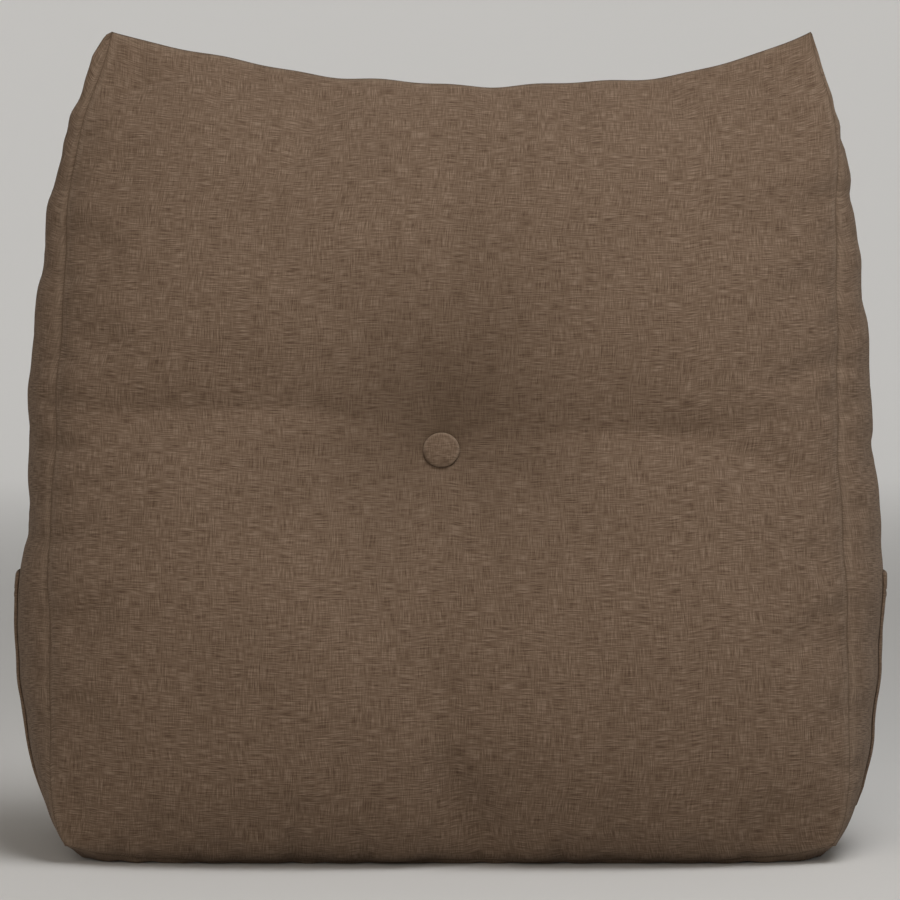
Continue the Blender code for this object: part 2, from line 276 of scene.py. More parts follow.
def make_weave():
    tree, given, result = open_group(
        "Uneven plain weave", "ShaderNodeTree",
        (("Cloth", "NodeSocketVector", None), ("Yarn width", "NodeSocketFloat", 0.0008),
         ("Slub length", "NodeSocketFloat", 9.0), ("Wander", "NodeSocketFloat", 0.5)),
        (("Shade", "NodeSocketFloat"), ("Relief", "NodeSocketFloat"),
         ("Fuzz", "NodeSocketFloat")))
    per_metre = math_node(tree, "DIVIDE", 1.0, given.outputs["Yarn width"])
    counted = add_node(
        tree, "ShaderNodeVectorMath", {0: given.outputs["Cloth"], "Scale": per_metre},
        operation="SCALE").outputs[0]
    wander = add_node(
        tree, "ShaderNodeTexNoise", {"Vector": counted, "Scale": WANDER_SCALE, "Detail": 1.0})
    shift = add_node(
        tree, "ShaderNodeVectorMath",
        {0: wander.outputs["Color"], "Scale": given.outputs["Wander"]}, operation="SCALE")
    moved = add_node(
        tree, "ShaderNodeVectorMath", {0: counted, 1: shift.outputs[0]}, operation="ADD")
    axes = add_node(tree, "ShaderNodeSeparateXYZ", {0: moved.outputs[0]})
    across, along = axes.outputs["X"], axes.outputs["Y"]

    def yarns(fine, slow, offset):
        drawn_out = math_node(tree, "DIVIDE", slow, given.outputs["Slub length"])
        place = add_node(tree, "ShaderNodeCombineXYZ", {0: fine, 1: drawn_out, 2: offset})
        noise = add_node(
            tree, "ShaderNodeTexNoise",
            {"Vector": place.outputs[0], "Scale": YARN_NOISE_SCALE, "Detail": YARN_NOISE_DETAIL})
        return noise.outputs["Fac"]

    warp = yarns(across, along, 0.0)
    weft = yarns(along, across, WEFT_OFFSET)
    wave_across = math_node(tree, "SINE", math_node(tree, "MULTIPLY", across, math.pi))
    wave_along = math_node(tree, "SINE", math_node(tree, "MULTIPLY", along, math.pi))
    crossing = math_node(tree, "MULTIPLY", wave_across, wave_along)
    patches = add_node(
        tree, "ShaderNodeTexNoise", {"Vector": counted, "Scale": PATCH_SCALE, "Detail": 2.0})
    lean = math_node(tree, "SUBTRACT", patches.outputs["Fac"], 0.5)
    leaning = math_node(tree, "MULTIPLY_ADD", lean, PATCH_LEAN, WEFT_SHARE)
    on_top = math_node(tree, "MULTIPLY_ADD", crossing, CROSSING_SHARE, leaning)
    on_top.node.use_clamp = True
    shade = add_node(
        tree, "ShaderNodeMix", {"Factor": on_top, "A": warp, "B": weft}, data_type="FLOAT")
    tree.links.new(shade.outputs[0], result.inputs["Shade"])

    rounded = add_node(
        tree, "ShaderNodeMix",
        {"Factor": on_top, "A": math_node(tree, "ABSOLUTE", wave_across),
         "B": math_node(tree, "ABSOLUTE", wave_along)}, data_type="FLOAT")
    relief = add_node(
        tree, "ShaderNodeMix", {"Factor": 0.5, "A": rounded.outputs[0], "B": shade.outputs[0]},
        data_type="FLOAT")
    tree.links.new(relief.outputs[0], result.inputs["Relief"])
    fuzz = add_node(
        tree, "ShaderNodeTexNoise", {"Vector": counted, "Scale": FUZZ_SCALE, "Detail": 3.0})
    tree.links.new(fuzz.outputs["Fac"], result.inputs["Fuzz"])
    return tree


weave = make_weave()
print("Weave group with", len(weave.nodes), "nodes")

# %% [markdown]
# ## Wear and painted shade
#
# Cloth that is handled grows paler where it stands proud, on both lips of a seam and along a
# hem. The darker cloth here is painted shade: down in the seam, where some lint also sits, in the
# gathers, under the button's tucks, along pressed stitches and in the button's dimple. The meshes
# below carry this as attributes: rub for the wear, hollow for the painted shade and seam for the
# seam's line, because only the code that makes a seam knows where it runs. The seam's value falls
# evenly from 1 over a narrow band, so that the shader can draw a line finer than the mesh. A
# second group turns them and a slow noise into masks, and again every material uses it.

# %% Wear and painted shade group
# The seam's dark line is painted shade of its groove, with some lint in it
SEAM_LINE = 0.22      # share of the seam's band that lies in its shade
SEAM_SHADE = 0.85
MOTTLE_SHARE = 0.35


def make_wear_and_shade():
    tree, given, result = open_group(
        "Handled cloth and painted shade", "ShaderNodeTree",
        (("Place", "NodeSocketVector", None), ("Rub", "NodeSocketFloat", 0.0),
         ("Hollow", "NodeSocketFloat", 0.0), ("Seam", "NodeSocketFloat", 0.0),
         ("Mottle size", "NodeSocketFloat", 0.05)),
        (("Pale", "NodeSocketFloat"), ("Dark", "NodeSocketFloat")))
    per_metre = math_node(tree, "DIVIDE", 1.0, given.outputs["Mottle size"])
    mottle = add_node(
        tree, "ShaderNodeTexNoise",
        {"Vector": given.outputs["Place"], "Scale": per_metre, "Detail": 3.0}).outputs["Fac"]
    uneven = math_node(tree, "MULTIPLY", given.outputs["Rub"], mottle)
    slow = math_node(
        tree, "MULTIPLY", math_node(tree, "SUBTRACT", mottle, 0.5), MOTTLE_SHARE)
    pale = math_node(tree, "ADD", uneven, slow)
    pale.node.use_clamp = True
    tree.links.new(pale, result.inputs["Pale"])
    # painted shade along the seam's groove
    line = add_node(
        tree, "ShaderNodeMapRange",
        {"Value": given.outputs["Seam"], "From Min": 1.0 - SEAM_LINE, "From Max": 1.0,
         "To Min": 0.0, "To Max": SEAM_SHADE}).outputs["Result"]
    # The dark mask is painted shade from the hollows and the seam's line, less the slow mottle
    deep = math_node(tree, "MAXIMUM", given.outputs["Hollow"], line)
    dark = math_node(tree, "MULTIPLY_ADD", slow, -1.0, deep)
    dark.node.use_clamp = True
    tree.links.new(dark, result.inputs["Dark"])
    return tree


wear_and_shade = make_wear_and_shade()
print("Wear group with", len(wear_and_shade.nodes), "nodes")

# %% [markdown]
# ## The cloth's colour
#
# Seen close, the brown is a mix of dark brown, mid brown and sand-coloured fibres. So the
# weave's shade goes through a ramp of three browns, and two masks shift the result: the wear
# mask makes it paler, and the mask of painted shade makes it darker. The surface is matte: high
# roughness, a little sheen for the fibre ends, and a bump from the weave's relief. The values of
# each cloth are rows of one small table.

# %% Cloth materials
CLOTHS = {
    "cover": {"yarn": 0.00066, "slub": 15.0, "tint": 0.92},
    "pocket": {"yarn": 0.00066, "slub": 15.0, "tint": 0.88},
    "button": {"yarn": 0.00060, "slub": 10.0, "tint": 0.87},
}
YARN_DARK = (0.086, 0.054, 0.034)
YARN_MID = (0.149, 0.1005, 0.068)
YARN_PALE = (0.223, 0.162, 0.118)
SHADE_STOPS = (0.355, 0.50, 0.66)
RUBBED = (0.27, 0.205, 0.150, 1.0)
# SHADED is the colour of the painted shade in seams, gathers, tucks, stitch lines and dimple
SHADED = (0.060, 0.038, 0.023, 1.0)
RUBBED_SHARE = 0.30
SHADED_SHARE = 0.75
WEAVE_DEPTH = 0.00035
WEAVE_BUMP, FUZZ_BUMP = 0.6, 0.25
ROUGHEST, SMOOTHEST = 0.98, 0.82
CLOTH_SURFACE = {
    "Metallic": 0.0,
    "Specular IOR Level": 0.12,
    "Sheen Weight": 0.05,
    "Sheen Roughness": 0.55,
    "Sheen Tint": (0.80, 0.68, 0.56, 1.0),
}


def cloth_material(name, yarn, slub, tint):
    material = bpy.data.materials.new(name)
    material.use_nodes = True
    tree = material.node_tree
    shader = tree.nodes["Principled BSDF"]
    cloth_map = add_node(tree, "ShaderNodeUVMap", uv_map="Cloth")
    woven = add_node(
        tree, "ShaderNodeGroup",
        {"Cloth": cloth_map.outputs[0], "Yarn width": yarn, "Slub length": slub},
        node_tree=weave)
    ramp = add_node(tree, "ShaderNodeValToRGB", {0: woven.outputs["Shade"]})
    stops = ramp.color_ramp.elements
    stops.new(SHADE_STOPS[1])
    for stop, place, colour in zip(stops, SHADE_STOPS, (YARN_DARK, YARN_MID, YARN_PALE)):
        stop.position = place
        stop.color = (*[channel * tint for channel in colour], 1.0)

    marks = {"Place": add_node(tree, "ShaderNodeTexCoord").outputs["Object"]}
    # rub marks wear; hollow and seam carry painted shade
    for label in ("rub", "hollow", "seam"):
        mark = add_node(tree, "ShaderNodeAttribute", attribute_name=label)
        marks[label.capitalize()] = mark.outputs["Fac"]
    wear_and_shade_marks = add_node(tree, "ShaderNodeGroup", marks, node_tree=wear_and_shade)
    rubbed = math_node(tree, "MULTIPLY", wear_and_shade_marks.outputs["Pale"], RUBBED_SHARE)
    # the dark mask lays the painted shade on the cloth
    shaded = math_node(tree, "MULTIPLY", wear_and_shade_marks.outputs["Dark"], SHADED_SHARE)
    paler = mix_colours(tree, rubbed, ramp.outputs["Color"], RUBBED)
    darker = mix_colours(tree, shaded, paler, SHADED)
    tree.links.new(darker, shader.inputs["Base Color"])

    rough = add_node(
        tree, "ShaderNodeMapRange",
        {"Value": woven.outputs["Fuzz"], "To Min": SMOOTHEST, "To Max": ROUGHEST})
    tree.links.new(rough.outputs[0], shader.inputs["Roughness"])
    fuzz_bump = add_node(
        tree, "ShaderNodeBump", {"Height": woven.outputs["Fuzz"], "Strength": FUZZ_BUMP,
                                 "Distance": WEAVE_DEPTH / 2.0})
    bump = add_node(
        tree, "ShaderNodeBump", {"Height": woven.outputs["Relief"], "Strength": WEAVE_BUMP,
                                 "Distance": WEAVE_DEPTH, "Normal": fuzz_bump.outputs[0]})
    tree.links.new(bump.outputs[0], shader.inputs["Normal"])
    for socket, value in CLOTH_SURFACE.items():
        shader.inputs[socket].default_value = value
    return material


cloth = {name: cloth_material(name.capitalize() + " cloth", **row) for name, row in CLOTHS.items()}
print("Cloth materials:", ", ".join(sorted(cloth)))

# %% [markdown]
# ## The pillow's form
#
# The panels are cut to a wedge, so the body can be told by sections: how wide the seams stand
# at nine heights, and how far each side bulges past them. It could be sculpted, but a table and
# a few formulas say it more plainly. The table starts from the solids' sizes and follows the
# real outline within a few millimetres of them, and the lowest corners are tucked in.
# Every panel is a grid of points. ACROSS runs from -1 at the left seam to 1 at the right, UP
# from 0 at the base to 1 at the top, DEEP from 0 at a side's front seam to 1 at its back seam.
# Here the grids are much finer than the solids', and closest together at seams and button.

# %% Sizes of the form
CORNER_HEIGHT = 0.494
BASE_SEAM_HEIGHT = 0.011
SECTION_COLUMNS = (
    "left_seam", "right_seam", "left_bulge", "right_bulge", "front_seam", "back_seam")
SECTIONS = np.array((
    (-0.2310, 0.2345, 0.0045, 0.0075, -0.074, 0.088),
    (-0.2315, 0.2362, 0.0192, 0.0198, -0.067, 0.093),
    (-0.2335, 0.2362, 0.0262, 0.0258, -0.052, 0.095),
    (-0.2347, 0.2348, 0.0190, 0.0288, -0.032, 0.096),
    (-0.2333, 0.2342, 0.0212, 0.0258, -0.011, 0.096),
    (-0.2315, 0.2350, 0.0205, 0.0219, 0.012, 0.095),
    (-0.2306, 0.2372, 0.0155, 0.0152, 0.036, 0.092),
    (-0.2235, 0.2385, 0.0106, 0.0052, 0.058, 0.088),
    (-0.2065, 0.2250, 0.0098, 0.0030, 0.080, 0.080),
))
RIDGE_DIP = 0.033
RIDGE_DIP_POWER = {"left": 1.75, "right": 3.2}
TIP_SHARE = 0.03
RIDGE_LEAN = 0.006
RIDGE_DIP_FADE = 2.4
BASE_SEAM_DROP = 0.009
BASE_SEAM_SQUARENESS = 8.0
BASE_SIDE_DROP = 0.004
BASE_SEAM_FADE = 9.0
BASE_BULGE = 0.080
CORNER_TUCK = 0.009        # the lowest corners are drawn in
CORNER_TUCK_FADE = 45.0
BASE_BULGE_SOFTNESS = 1.6
FRONT_CROWN = 0.060
BACK_CROWN = 0.013
CROWN_ROUNDNESS_ACROSS = 2.6
CROWN_ROUNDNESS_UP = 2.4
CROWN_EDGE = 0.62
FRONT_CROWN_LOW = 0.80
SIDE_ROUNDNESS = 2.2

GAP = 0.0003               # how far a piece stands off the cloth that it lies on

STEPS_ACROSS, STEPS_UP, STEPS_DEEP = 160, 168, 56
CLOSENESS = 0.45


def spacing(steps, fine_spots):
    """Places from 0 to 1, closer together at the ends and at the inner fine spots."""
    even = np.arange(steps + 1) / steps
    waves = 2.0 * math.pi * fine_spots
    return even - CLOSENESS * np.sin(waves * even) / waves


ACROSS = 2.0 * spacing(STEPS_ACROSS, 2) - 1.0
UP = spacing(STEPS_UP, 2)
DEEP = spacing(STEPS_DEEP, 1)
print("Front panel grid", len(UP), "by", len(ACROSS))

# %% [markdown]
# The sections are joined by a smooth curve, and a hump gives each crown: it rises steeply at
# the seams, where stuffing pushes the cloth out, and is nearly flat in the middle.

# %% Curves of the form


def mix(low, high, share):
    return low + (high - low) * share


def section(column, up):
    """One column of SECTIONS at a height, along a smooth curve through its rows."""
    values = SECTIONS[:, SECTION_COLUMNS.index(column)]
    place = np.clip(up, 0.0, 1.0) * (len(values) - 1)
    row = np.minimum(place.astype(int), len(values) - 2)
    t = place - row
    before, after = values[np.maximum(row - 1, 0)], values[np.minimum(row + 2, len(values) - 1)]
    start, end = values[row], values[row + 1]
    rise_start, rise_end = (end - before) / 2.0, (after - start) / 2.0
    return (start * (2 * t**3 - 3 * t**2 + 1) + rise_start * (t**3 - 2 * t**2 + t)
            + end * (3 * t**2 - 2 * t**3) + rise_end * (t**3 - t**2))


def hump(place, roundness):
    return np.maximum(1.0 - np.abs(place) ** roundness, 0.0) ** CROWN_EDGE


def seam_height(across, up):
    power = np.where(across < 0.0, RIDGE_DIP_POWER["left"], RIDGE_DIP_POWER["right"])
    dip = RIDGE_DIP * (1.0 - np.abs(across) ** power) + ridge_waver(across)
    drop = BASE_SEAM_DROP * (1.0 - np.abs(across) ** BASE_SEAM_SQUARENESS) + base_waver(across)
    straight = mix(BASE_SEAM_HEIGHT, CORNER_HEIGHT, up)
    return straight - dip * up**RIDGE_DIP_FADE - drop * (1.0 - up) ** BASE_SEAM_FADE


def side_seam(side, up):
    name = "left_seam" if side < 0 else "right_seam"
    tuck = CORNER_TUCK * (1.0 - up) ** CORNER_TUCK_FADE
    return section(name, up) + side_waver(side, up) - side * tuck


def seam_x(across, up):
    return mix(side_seam(-1, up), side_seam(1, up), (across + 1.0) / 2.0)


# %% [markdown]
# A sewn seam is never quite straight. It wavers by a millimetre, with a longer and a shorter
# wave on top of each other, and the waves die out at the corners. Both panels of a seam read
# the same waver, so they stay joined.

# %% Wavering seams
# Each row holds the number of waves along the seam, their height and their phase
RIDGE_WAVERS = ((4.0, 0.0011, 0.5), (9.0, 0.0006, 2.1))
BASE_WAVERS = ((5.0, 0.0008, 1.2), (12.0, 0.0005, 0.3))
SIDE_WAVERS = {
    -1: ((4.3, 0.0007, 1.9), (8.6, 0.0006, 0.2)),
    1: ((3.4, 0.0006, 0.8), (9.4, 0.0005, 2.6)),
}


def waver(share, rows):
    """Sideways shift at a share from 0 to 1 of a seam."""
    total = sum(
        height * np.sin(2.0 * math.pi * waves * share + phase) for waves, height, phase in rows)
    return total * np.sin(math.pi * np.clip(share, 0.0, 1.0)) ** 0.7


def ridge_waver(across):
    return waver((across + 1.0) / 2.0, RIDGE_WAVERS)


def base_waver(across):
    return waver((across + 1.0) / 2.0, BASE_WAVERS)


def side_waver(side, up):
    return waver(up, SIDE_WAVERS[side])


print("Widest waver", max(height for rows in SIDE_WAVERS.values() for _, height, _ in rows), "m")

# %% [markdown]
# ## The button's pull
#
# The button is tied through the stuffing, so it draws a dimple into the front, and the slack
# cloth folds into valleys that run from the dimple to the seams. A sculpting brush could draw
# them, but chains of points stay easy to move. Each valley is a short chain on the face with its
# depth near the button and far from it, and its width above and below. The side valleys are
# steeper above than below, which makes the dark line that shows from the front, and the dimple
# is steeper near the button than the solids' one. Soft lobes swell the quarters in between.
# Fainter creases and two soft ridges follow, in the same columns: a ridge has a negative depth.

# %% Valleys and creases of the front
BUTTON_X, BUTTON_Z = -0.0028, 0.2403
SEAT_RADIUS = 0.009
DIMPLE_DEPTH = 0.036
DIMPLE_REACH = 0.050
DIMPLE_POWER = 1.0
FOLDS_FADE_IN = 1.5
PULL_NEAR_SEAMS = 1.6
CREASE_ROUND = 0.004

VALLEYS = (
    {"name": "left", "depths": (0.020, 0.010), "widths": (0.026, 0.045), "round": 0.0020,
     "points": ((-0.016, 0.245), (-0.045, 0.257), (-0.085, 0.265), (-0.162, 0.264),
                (-0.240, 0.260))},
    {"name": "right", "depths": (0.019, 0.011), "widths": (0.030, 0.045), "round": 0.0022,
     "points": ((0.008, 0.244), (0.057, 0.250), (0.102, 0.252), (0.144, 0.249),
                (0.178, 0.237), (0.240, 0.213))},
    {"name": "upper", "depths": (0.007, 0.009), "widths": (0.030, 0.030), "round": 0.006,
     "points": ((-0.001, 0.255), (0.002, 0.303), (0.006, 0.372), (0.008, 0.460))},
    {"name": "lower", "depths": (0.013, 0.011), "widths": (0.032, 0.032), "round": 0.006,
     "points": ((-0.004, 0.225), (-0.002, 0.174), (-0.010, 0.126), (0.000, 0.055),
                (0.024, 0.010))},
)
LOBES = (
    {"name": "upper left", "x": -0.110, "z": 0.350, "reach": (0.090, 0.062), "height": 0.004},
    {"name": "upper right", "x": 0.120, "z": 0.345, "reach": (0.090, 0.062), "height": 0.004},
    {"name": "brow", "x": 0.006, "z": 0.345, "reach": (0.070, 0.050), "height": 0.002},
    {"name": "lower left", "x": -0.105, "z": 0.165, "reach": (0.080, 0.070), "height": 0.004},
    {"name": "lower right", "x": 0.135, "z": 0.165, "reach": (0.085, 0.062), "height": 0.004},
)
CREASES = (
    {"name": "upper branch", "depths": (0.0030, 0.0015), "widths": (0.010, 0.012),
     "points": ((0.140, 0.250), (0.190, 0.257), (0.236, 0.261))},
    {"name": "low right hollow", "depths": (0.0030, 0.0020), "widths": (0.030, 0.030),
     "points": ((0.163, 0.183), (0.206, 0.153))},
    {"name": "right ridge", "depths": (-0.0030, -0.0015), "widths": (0.022, 0.022),
     "points": ((0.150, 0.222), (0.232, 0.178))},
    {"name": "foot crease", "depths": (0.0045, 0.0080), "widths": (0.010, 0.014),
     "points": ((0.000, 0.060), (0.014, 0.038), (0.023, 0.012))},
    {"name": "foot ridge", "depths": (-0.0030, -0.0020), "widths": (0.018, 0.018),
     "points": ((-0.014, 0.062), (-0.018, 0.030))},
    {"name": "left cheek", "depths": (0.0018, 0.0008), "widths": (0.012, 0.016),
     "points": ((-0.100, 0.280), (-0.150, 0.298), (-0.200, 0.301))},
    {"name": "low left drag", "depths": (0.0022, 0.0008), "widths": (0.016, 0.020),
     "points": ((-0.060, 0.225), (-0.120, 0.196), (-0.170, 0.180))},
    {"name": "upper left drag", "depths": (0.0016, 0.0006), "widths": (0.018, 0.022),
     "points": ((-0.045, 0.300), (-0.090, 0.352), (-0.140, 0.395))},
    {"name": "upper right drag", "depths": (0.0016, 0.0006), "widths": (0.018, 0.022),
     "points": ((0.050, 0.296), (0.098, 0.340), (0.150, 0.390))},
    {"name": "low right drag", "depths": (0.0018, 0.0008), "widths": (0.016, 0.020),
     "points": ((0.050, 0.222), (0.095, 0.185), (0.130, 0.130))},
)


def gap_to_chain(x, z, points):
    """How far (x, z) is from a chain, how far along it, and how squarely above it, 0 to 1."""
    lengths = [math.dist(a, b) for a, b in zip(points, points[1:])]
    gap = np.full(x.shape, np.inf)
    along, above = np.zeros(x.shape), np.zeros(x.shape)
    passed = 0.0
    for a, b, length in zip(points, points[1:], lengths):
        t = np.clip(((x - a[0]) * (b[0] - a[0]) + (z - a[1]) * (b[1] - a[1])) / length**2, 0, 1)
        foot_x, foot_z = mix(a[0], b[0], t), mix(a[1], b[1], t)
        away = np.hypot(x - foot_x, z - foot_z)
        nearer = away < gap
        gap = np.where(nearer, away, gap)
        along = np.where(nearer, (passed + t * length) / sum(lengths), along)
        above = np.where(nearer, 0.5 + 0.5 * (z - foot_z) / np.maximum(away, 1e-9), above)
        passed += length
    return gap, along, above


def fold_depth(x, z, row):
    gap, along, above = gap_to_chain(x, z, row["points"])
    width = mix(row["widths"][1], row["widths"][0], above)
    radius = row.get("round", CREASE_ROUND)
    rounded = np.sqrt(gap**2 + radius**2) - radius
    return mix(*row["depths"], along) * np.exp(-rounded / width)


def pulled_in(x, z):
    """How far the button draws the front back at (x, z)."""
    beyond_seat = np.maximum(np.hypot(x - BUTTON_X, z - BUTTON_Z) - SEAT_RADIUS, 0.0)
    pull = np.exp(-((beyond_seat / DIMPLE_REACH) ** DIMPLE_POWER))
    folds = sum(fold_depth(x, z, row) for row in VALLEYS)
    lobes = sum(
        row["height"] * np.exp(-(((x - row["x"]) / row["reach"][0]) ** 2)
                               - ((z - row["z"]) / row["reach"][1]) ** 2) for row in LOBES)
    return DIMPLE_DEPTH * pull + (folds - lobes) * (1.0 - pull) ** FOLDS_FADE_IN


print(len(VALLEYS), "valleys and", len(CREASES), "finer creases and ridges")

# %% [markdown]
# The five panels follow. Each is a function of its two coordinates, and two panels that share
# a seam give the same points there. The base hangs below its seams, and the floor flattens it.

# %% Panels


def front_points(across, up):
    x, z = seam_x(across, up), seam_height(across, up)
    upright = hump(2.0 * up**FRONT_CROWN_LOW - 1.0, CROWN_ROUNDNESS_UP)
    edge = hump(across, CROWN_ROUNDNESS_ACROSS) * upright
    lean = RIDGE_LEAN * (1.0 - across**2) * up
    pull = pulled_in(x, z) * np.minimum(edge * PULL_NEAR_SEAMS, 1.0)
    y = section("front_seam", up) - lean - FRONT_CROWN * edge + pull
    return np.stack((x, y, z), axis=-1)


def back_points(across, up):
    edge = hump(across, CROWN_ROUNDNESS_ACROSS) * hump(2.0 * up - 1.0, CROWN_ROUNDNESS_UP)
    lean = RIDGE_LEAN * (1.0 - across**2) * up**8
    y = section("back_seam", up) - lean + BACK_CROWN * edge
    return np.stack((seam_x(across, up), y, seam_height(across, up)), axis=-1)


def side_points(side, deep, up):
    name = "left" if side < 0 else "right"
    closing = np.sqrt(np.minimum((1.0 - up) / TIP_SHARE, 1.0))
    edge = hump(2.0 * deep - 1.0, SIDE_ROUNDNESS)
    x = side_seam(side, up) + side * section(name + "_bulge", up) * closing * edge
    y = mix(section("front_seam", up), section("back_seam", up), deep)
    drop = BASE_SIDE_DROP * edge * (1.0 - up) ** BASE_SEAM_FADE
    z = mix(BASE_SEAM_HEIGHT, CORNER_HEIGHT, up) - drop
    return np.stack((x, y, z), axis=-1)


def base_points(across, deep):
    none = np.zeros_like(across + deep)
    front, back = front_points(across + none, none), back_points(across + none, none)
    left, right = side_points(-1, deep + none, none), side_points(1, deep + none, none)
    share, depth = (across + none + 1.0)[..., None] / 2.0, (deep + none)[..., None]
    near = mix(side_points(-1, none, none), side_points(1, none, none), share)
    far = mix(side_points(-1, none + 1.0, none), side_points(1, none + 1.0, none), share)
    points = mix(front, back, depth) + mix(left, right, share) - mix(near, far, depth)
    edge = hump(across, CROWN_ROUNDNESS_ACROSS) * hump(2.0 * deep - 1.0, SIDE_ROUNDNESS)
    points[..., 2] = np.maximum(points[..., 2] - BASE_BULGE * edge**BASE_BULGE_SOFTNESS, 0.0)
    return points


def make_panels(across, up, deep):
    """The five grids as {name: points}, rows upwards (or backwards on the base)."""
    tall, wide = np.meshgrid(up, across, indexing="ij")
    side_tall, side_deep = np.meshgrid(up, deep, indexing="ij")
    base_deep, base_wide = np.meshgrid(deep, across, indexing="ij")
    return {
        "front": front_points(wide, tall),
        "back": back_points(wide, tall),
        "base": base_points(base_wide, base_deep),
        "left": side_points(-1, side_deep, side_tall),
        "right": side_points(1, side_deep, side_tall),
    }


FACES_INWARDS = ("back", "base", "left")     # grids whose rows and columns turn the other way
panels = make_panels(ACROSS, UP, DEEP)
lowest = np.min([grid.min(axis=(0, 1)) for grid in panels.values()], axis=0)
highest = np.max([grid.max(axis=(0, 1)) for grid in panels.values()], axis=0)
cushion_low, cushion_high = (np.array(corner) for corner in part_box("cushion"))
shift = (cushion_low + cushion_high - lowest - highest) / 2.0 * (1.0, 1.0, 0.0)
panels = {name: grid + shift for name, grid in panels.items()}
print("Panels set on the frame, shifted by", shift.round(4))

# %% [markdown]
# ## From grids to one sewn mesh
#
# The grids are joined where their seam points coincide. Blender can merge by distance, but
# numpy finds equal points at once and also tells which mesh point each grid point became,
# which is needed to read the simulation back. Quads that a pinched corner folds to a line are
# left out.

# %% Sewing the panels
WELD = 0.00001


def sewn_points(grids):
    """All points once, and for each grid the number of each of its points."""
    stacked = np.concatenate([grid.reshape(-1, 3) for grid in grids.values()])
    keys = np.round(stacked / WELD).astype(np.int64)
    _, first, number = np.unique(keys, axis=0, return_index=True, return_inverse=True)
    numbers, start = {}, 0
    for name, grid in grids.items():
        count = grid.shape[0] * grid.shape[1]
        numbers[name] = number.ravel()[start:start + count].reshape(grid.shape[:2])
        start += count
    return stacked[first], numbers


def sewn_faces(numbers):
    """Faces of every grid, and with them the grid corner that each face corner came from."""
    faces, corners = [], []
    for name, grid in numbers.items():
        columns = grid.shape[1]
        spots = np.arange(grid.size).reshape(grid.shape)
        quads = np.stack((spots[:-1, :-1], spots[:-1, 1:], spots[1:, 1:], spots[1:, :-1]), axis=-1)
        flat = grid.ravel()
        for quad in quads.reshape(-1, 4):
            kept = [spot for i, spot in enumerate(quad) if flat[spot] != flat[quad[i - 1]]]
            if len(kept) < 3:
                continue
            if name in FACES_INWARDS:
                kept.reverse()
            faces.append([int(flat[spot]) for spot in kept])
            corners.append([(name, spot // columns, spot % columns) for spot in kept])
    return faces, corners


def panel_cloth(grid):
    """Where each point lies on its flat cut panel, in metres from the panel's middle."""
    steps_across = np.linalg.norm(np.diff(grid, axis=1), axis=-1)
    steps_up = np.linalg.norm(np.diff(grid, axis=0), axis=-1)
    u = np.concatenate((np.zeros((grid.shape[0], 1)), np.cumsum(steps_across, axis=1)), axis=1)
    v = np.concatenate((np.zeros((1, grid.shape[1])), np.cumsum(steps_up, axis=0)), axis=0)
    middle_row, middle_column = grid.shape[0] // 2, grid.shape[1] // 2
    return np.stack((u - u[:, [middle_column]], v - v[[middle_row], :]), axis=-1)


def outward(grid, name):
    """Unit normals of a grid, pointing out of the pillow."""
    normal = np.cross(np.gradient(grid, axis=1), np.gradient(grid, axis=0))
    if name in FACES_INWARDS:
        normal = -normal
    length = np.linalg.norm(normal, axis=-1, keepdims=True)
    return normal / np.maximum(length, 1e-12)


def sewn_mesh(name, grids, point_values=None):
    """One closed mesh of the grids, with a UV map named Cloth and point attributes."""
    points, numbers = sewn_points(grids)
    faces, corners = sewn_faces(numbers)
    mesh = bpy.data.meshes.new(name)
    mesh.from_pydata(points.tolist(), [], faces)
    flat_cloth = {panel: panel_cloth(grid) for panel, grid in grids.items()}
    spots = [flat_cloth[panel][row, column] for face in corners for panel, row, column in face]
    mesh.uv_layers.new(name="Cloth").uv.foreach_set("vector", np.array(spots, np.float32).ravel())
    for label, fields in (point_values or {}).items():
        values = np.zeros(len(points), np.float32)
        for panel, field in fields.items():
            values[numbers[panel].ravel()] = field.ravel()
        mesh.attributes.new(label, "FLOAT", "POINT").data.foreach_set("value", values)
    mesh.shade_smooth()
    return mesh, numbers


print("Front panel as cut, about", panel_cloth(panels["front"]).max(axis=(0, 1)).round(3) * 2, "m")

# %% [markdown]
# ## Fields on the grids
#
# Settling, seams and pockets need the same few tools for a value on a grid: smooth it, read it
# on twice as many steps, measure over the cloth how far each point is from a border, and ease a
# value in. Blender's own smoothing works on a whole mesh and would round the seams off, so numpy
# does it here, panel by panel.

# %% Helpers for grids


def smoothed(field, passes):
    """A grid field with its small features averaged out; the border stays as it is."""
    slow = field.copy()
    for _ in range(passes):
        around = slow[:-2, 1:-1] + slow[2:, 1:-1] + slow[1:-1, :-2] + slow[1:-1, 2:]
        slow[1:-1, 1:-1] = (slow[1:-1, 1:-1] + around / 4.0) / 2.0
    return slow


def doubled(field):
    """A grid field on twice as many steps, by a cubic through four neighbours."""
    for axis in (0, 1):
        field = np.moveaxis(field, axis, 0)
        padded = np.concatenate((2 * field[:1] - field[1:2], field, 2 * field[-1:] - field[-2:-1]))
        between = (9 * (padded[1:-2] + padded[2:-1]) - padded[:-3] - padded[3:]) / 16.0
        fine = np.empty((2 * len(field) - 1, *field.shape[1:]))
        fine[::2] = field
        fine[1::2] = between
        field = np.moveaxis(fine, 0, axis)
    return field


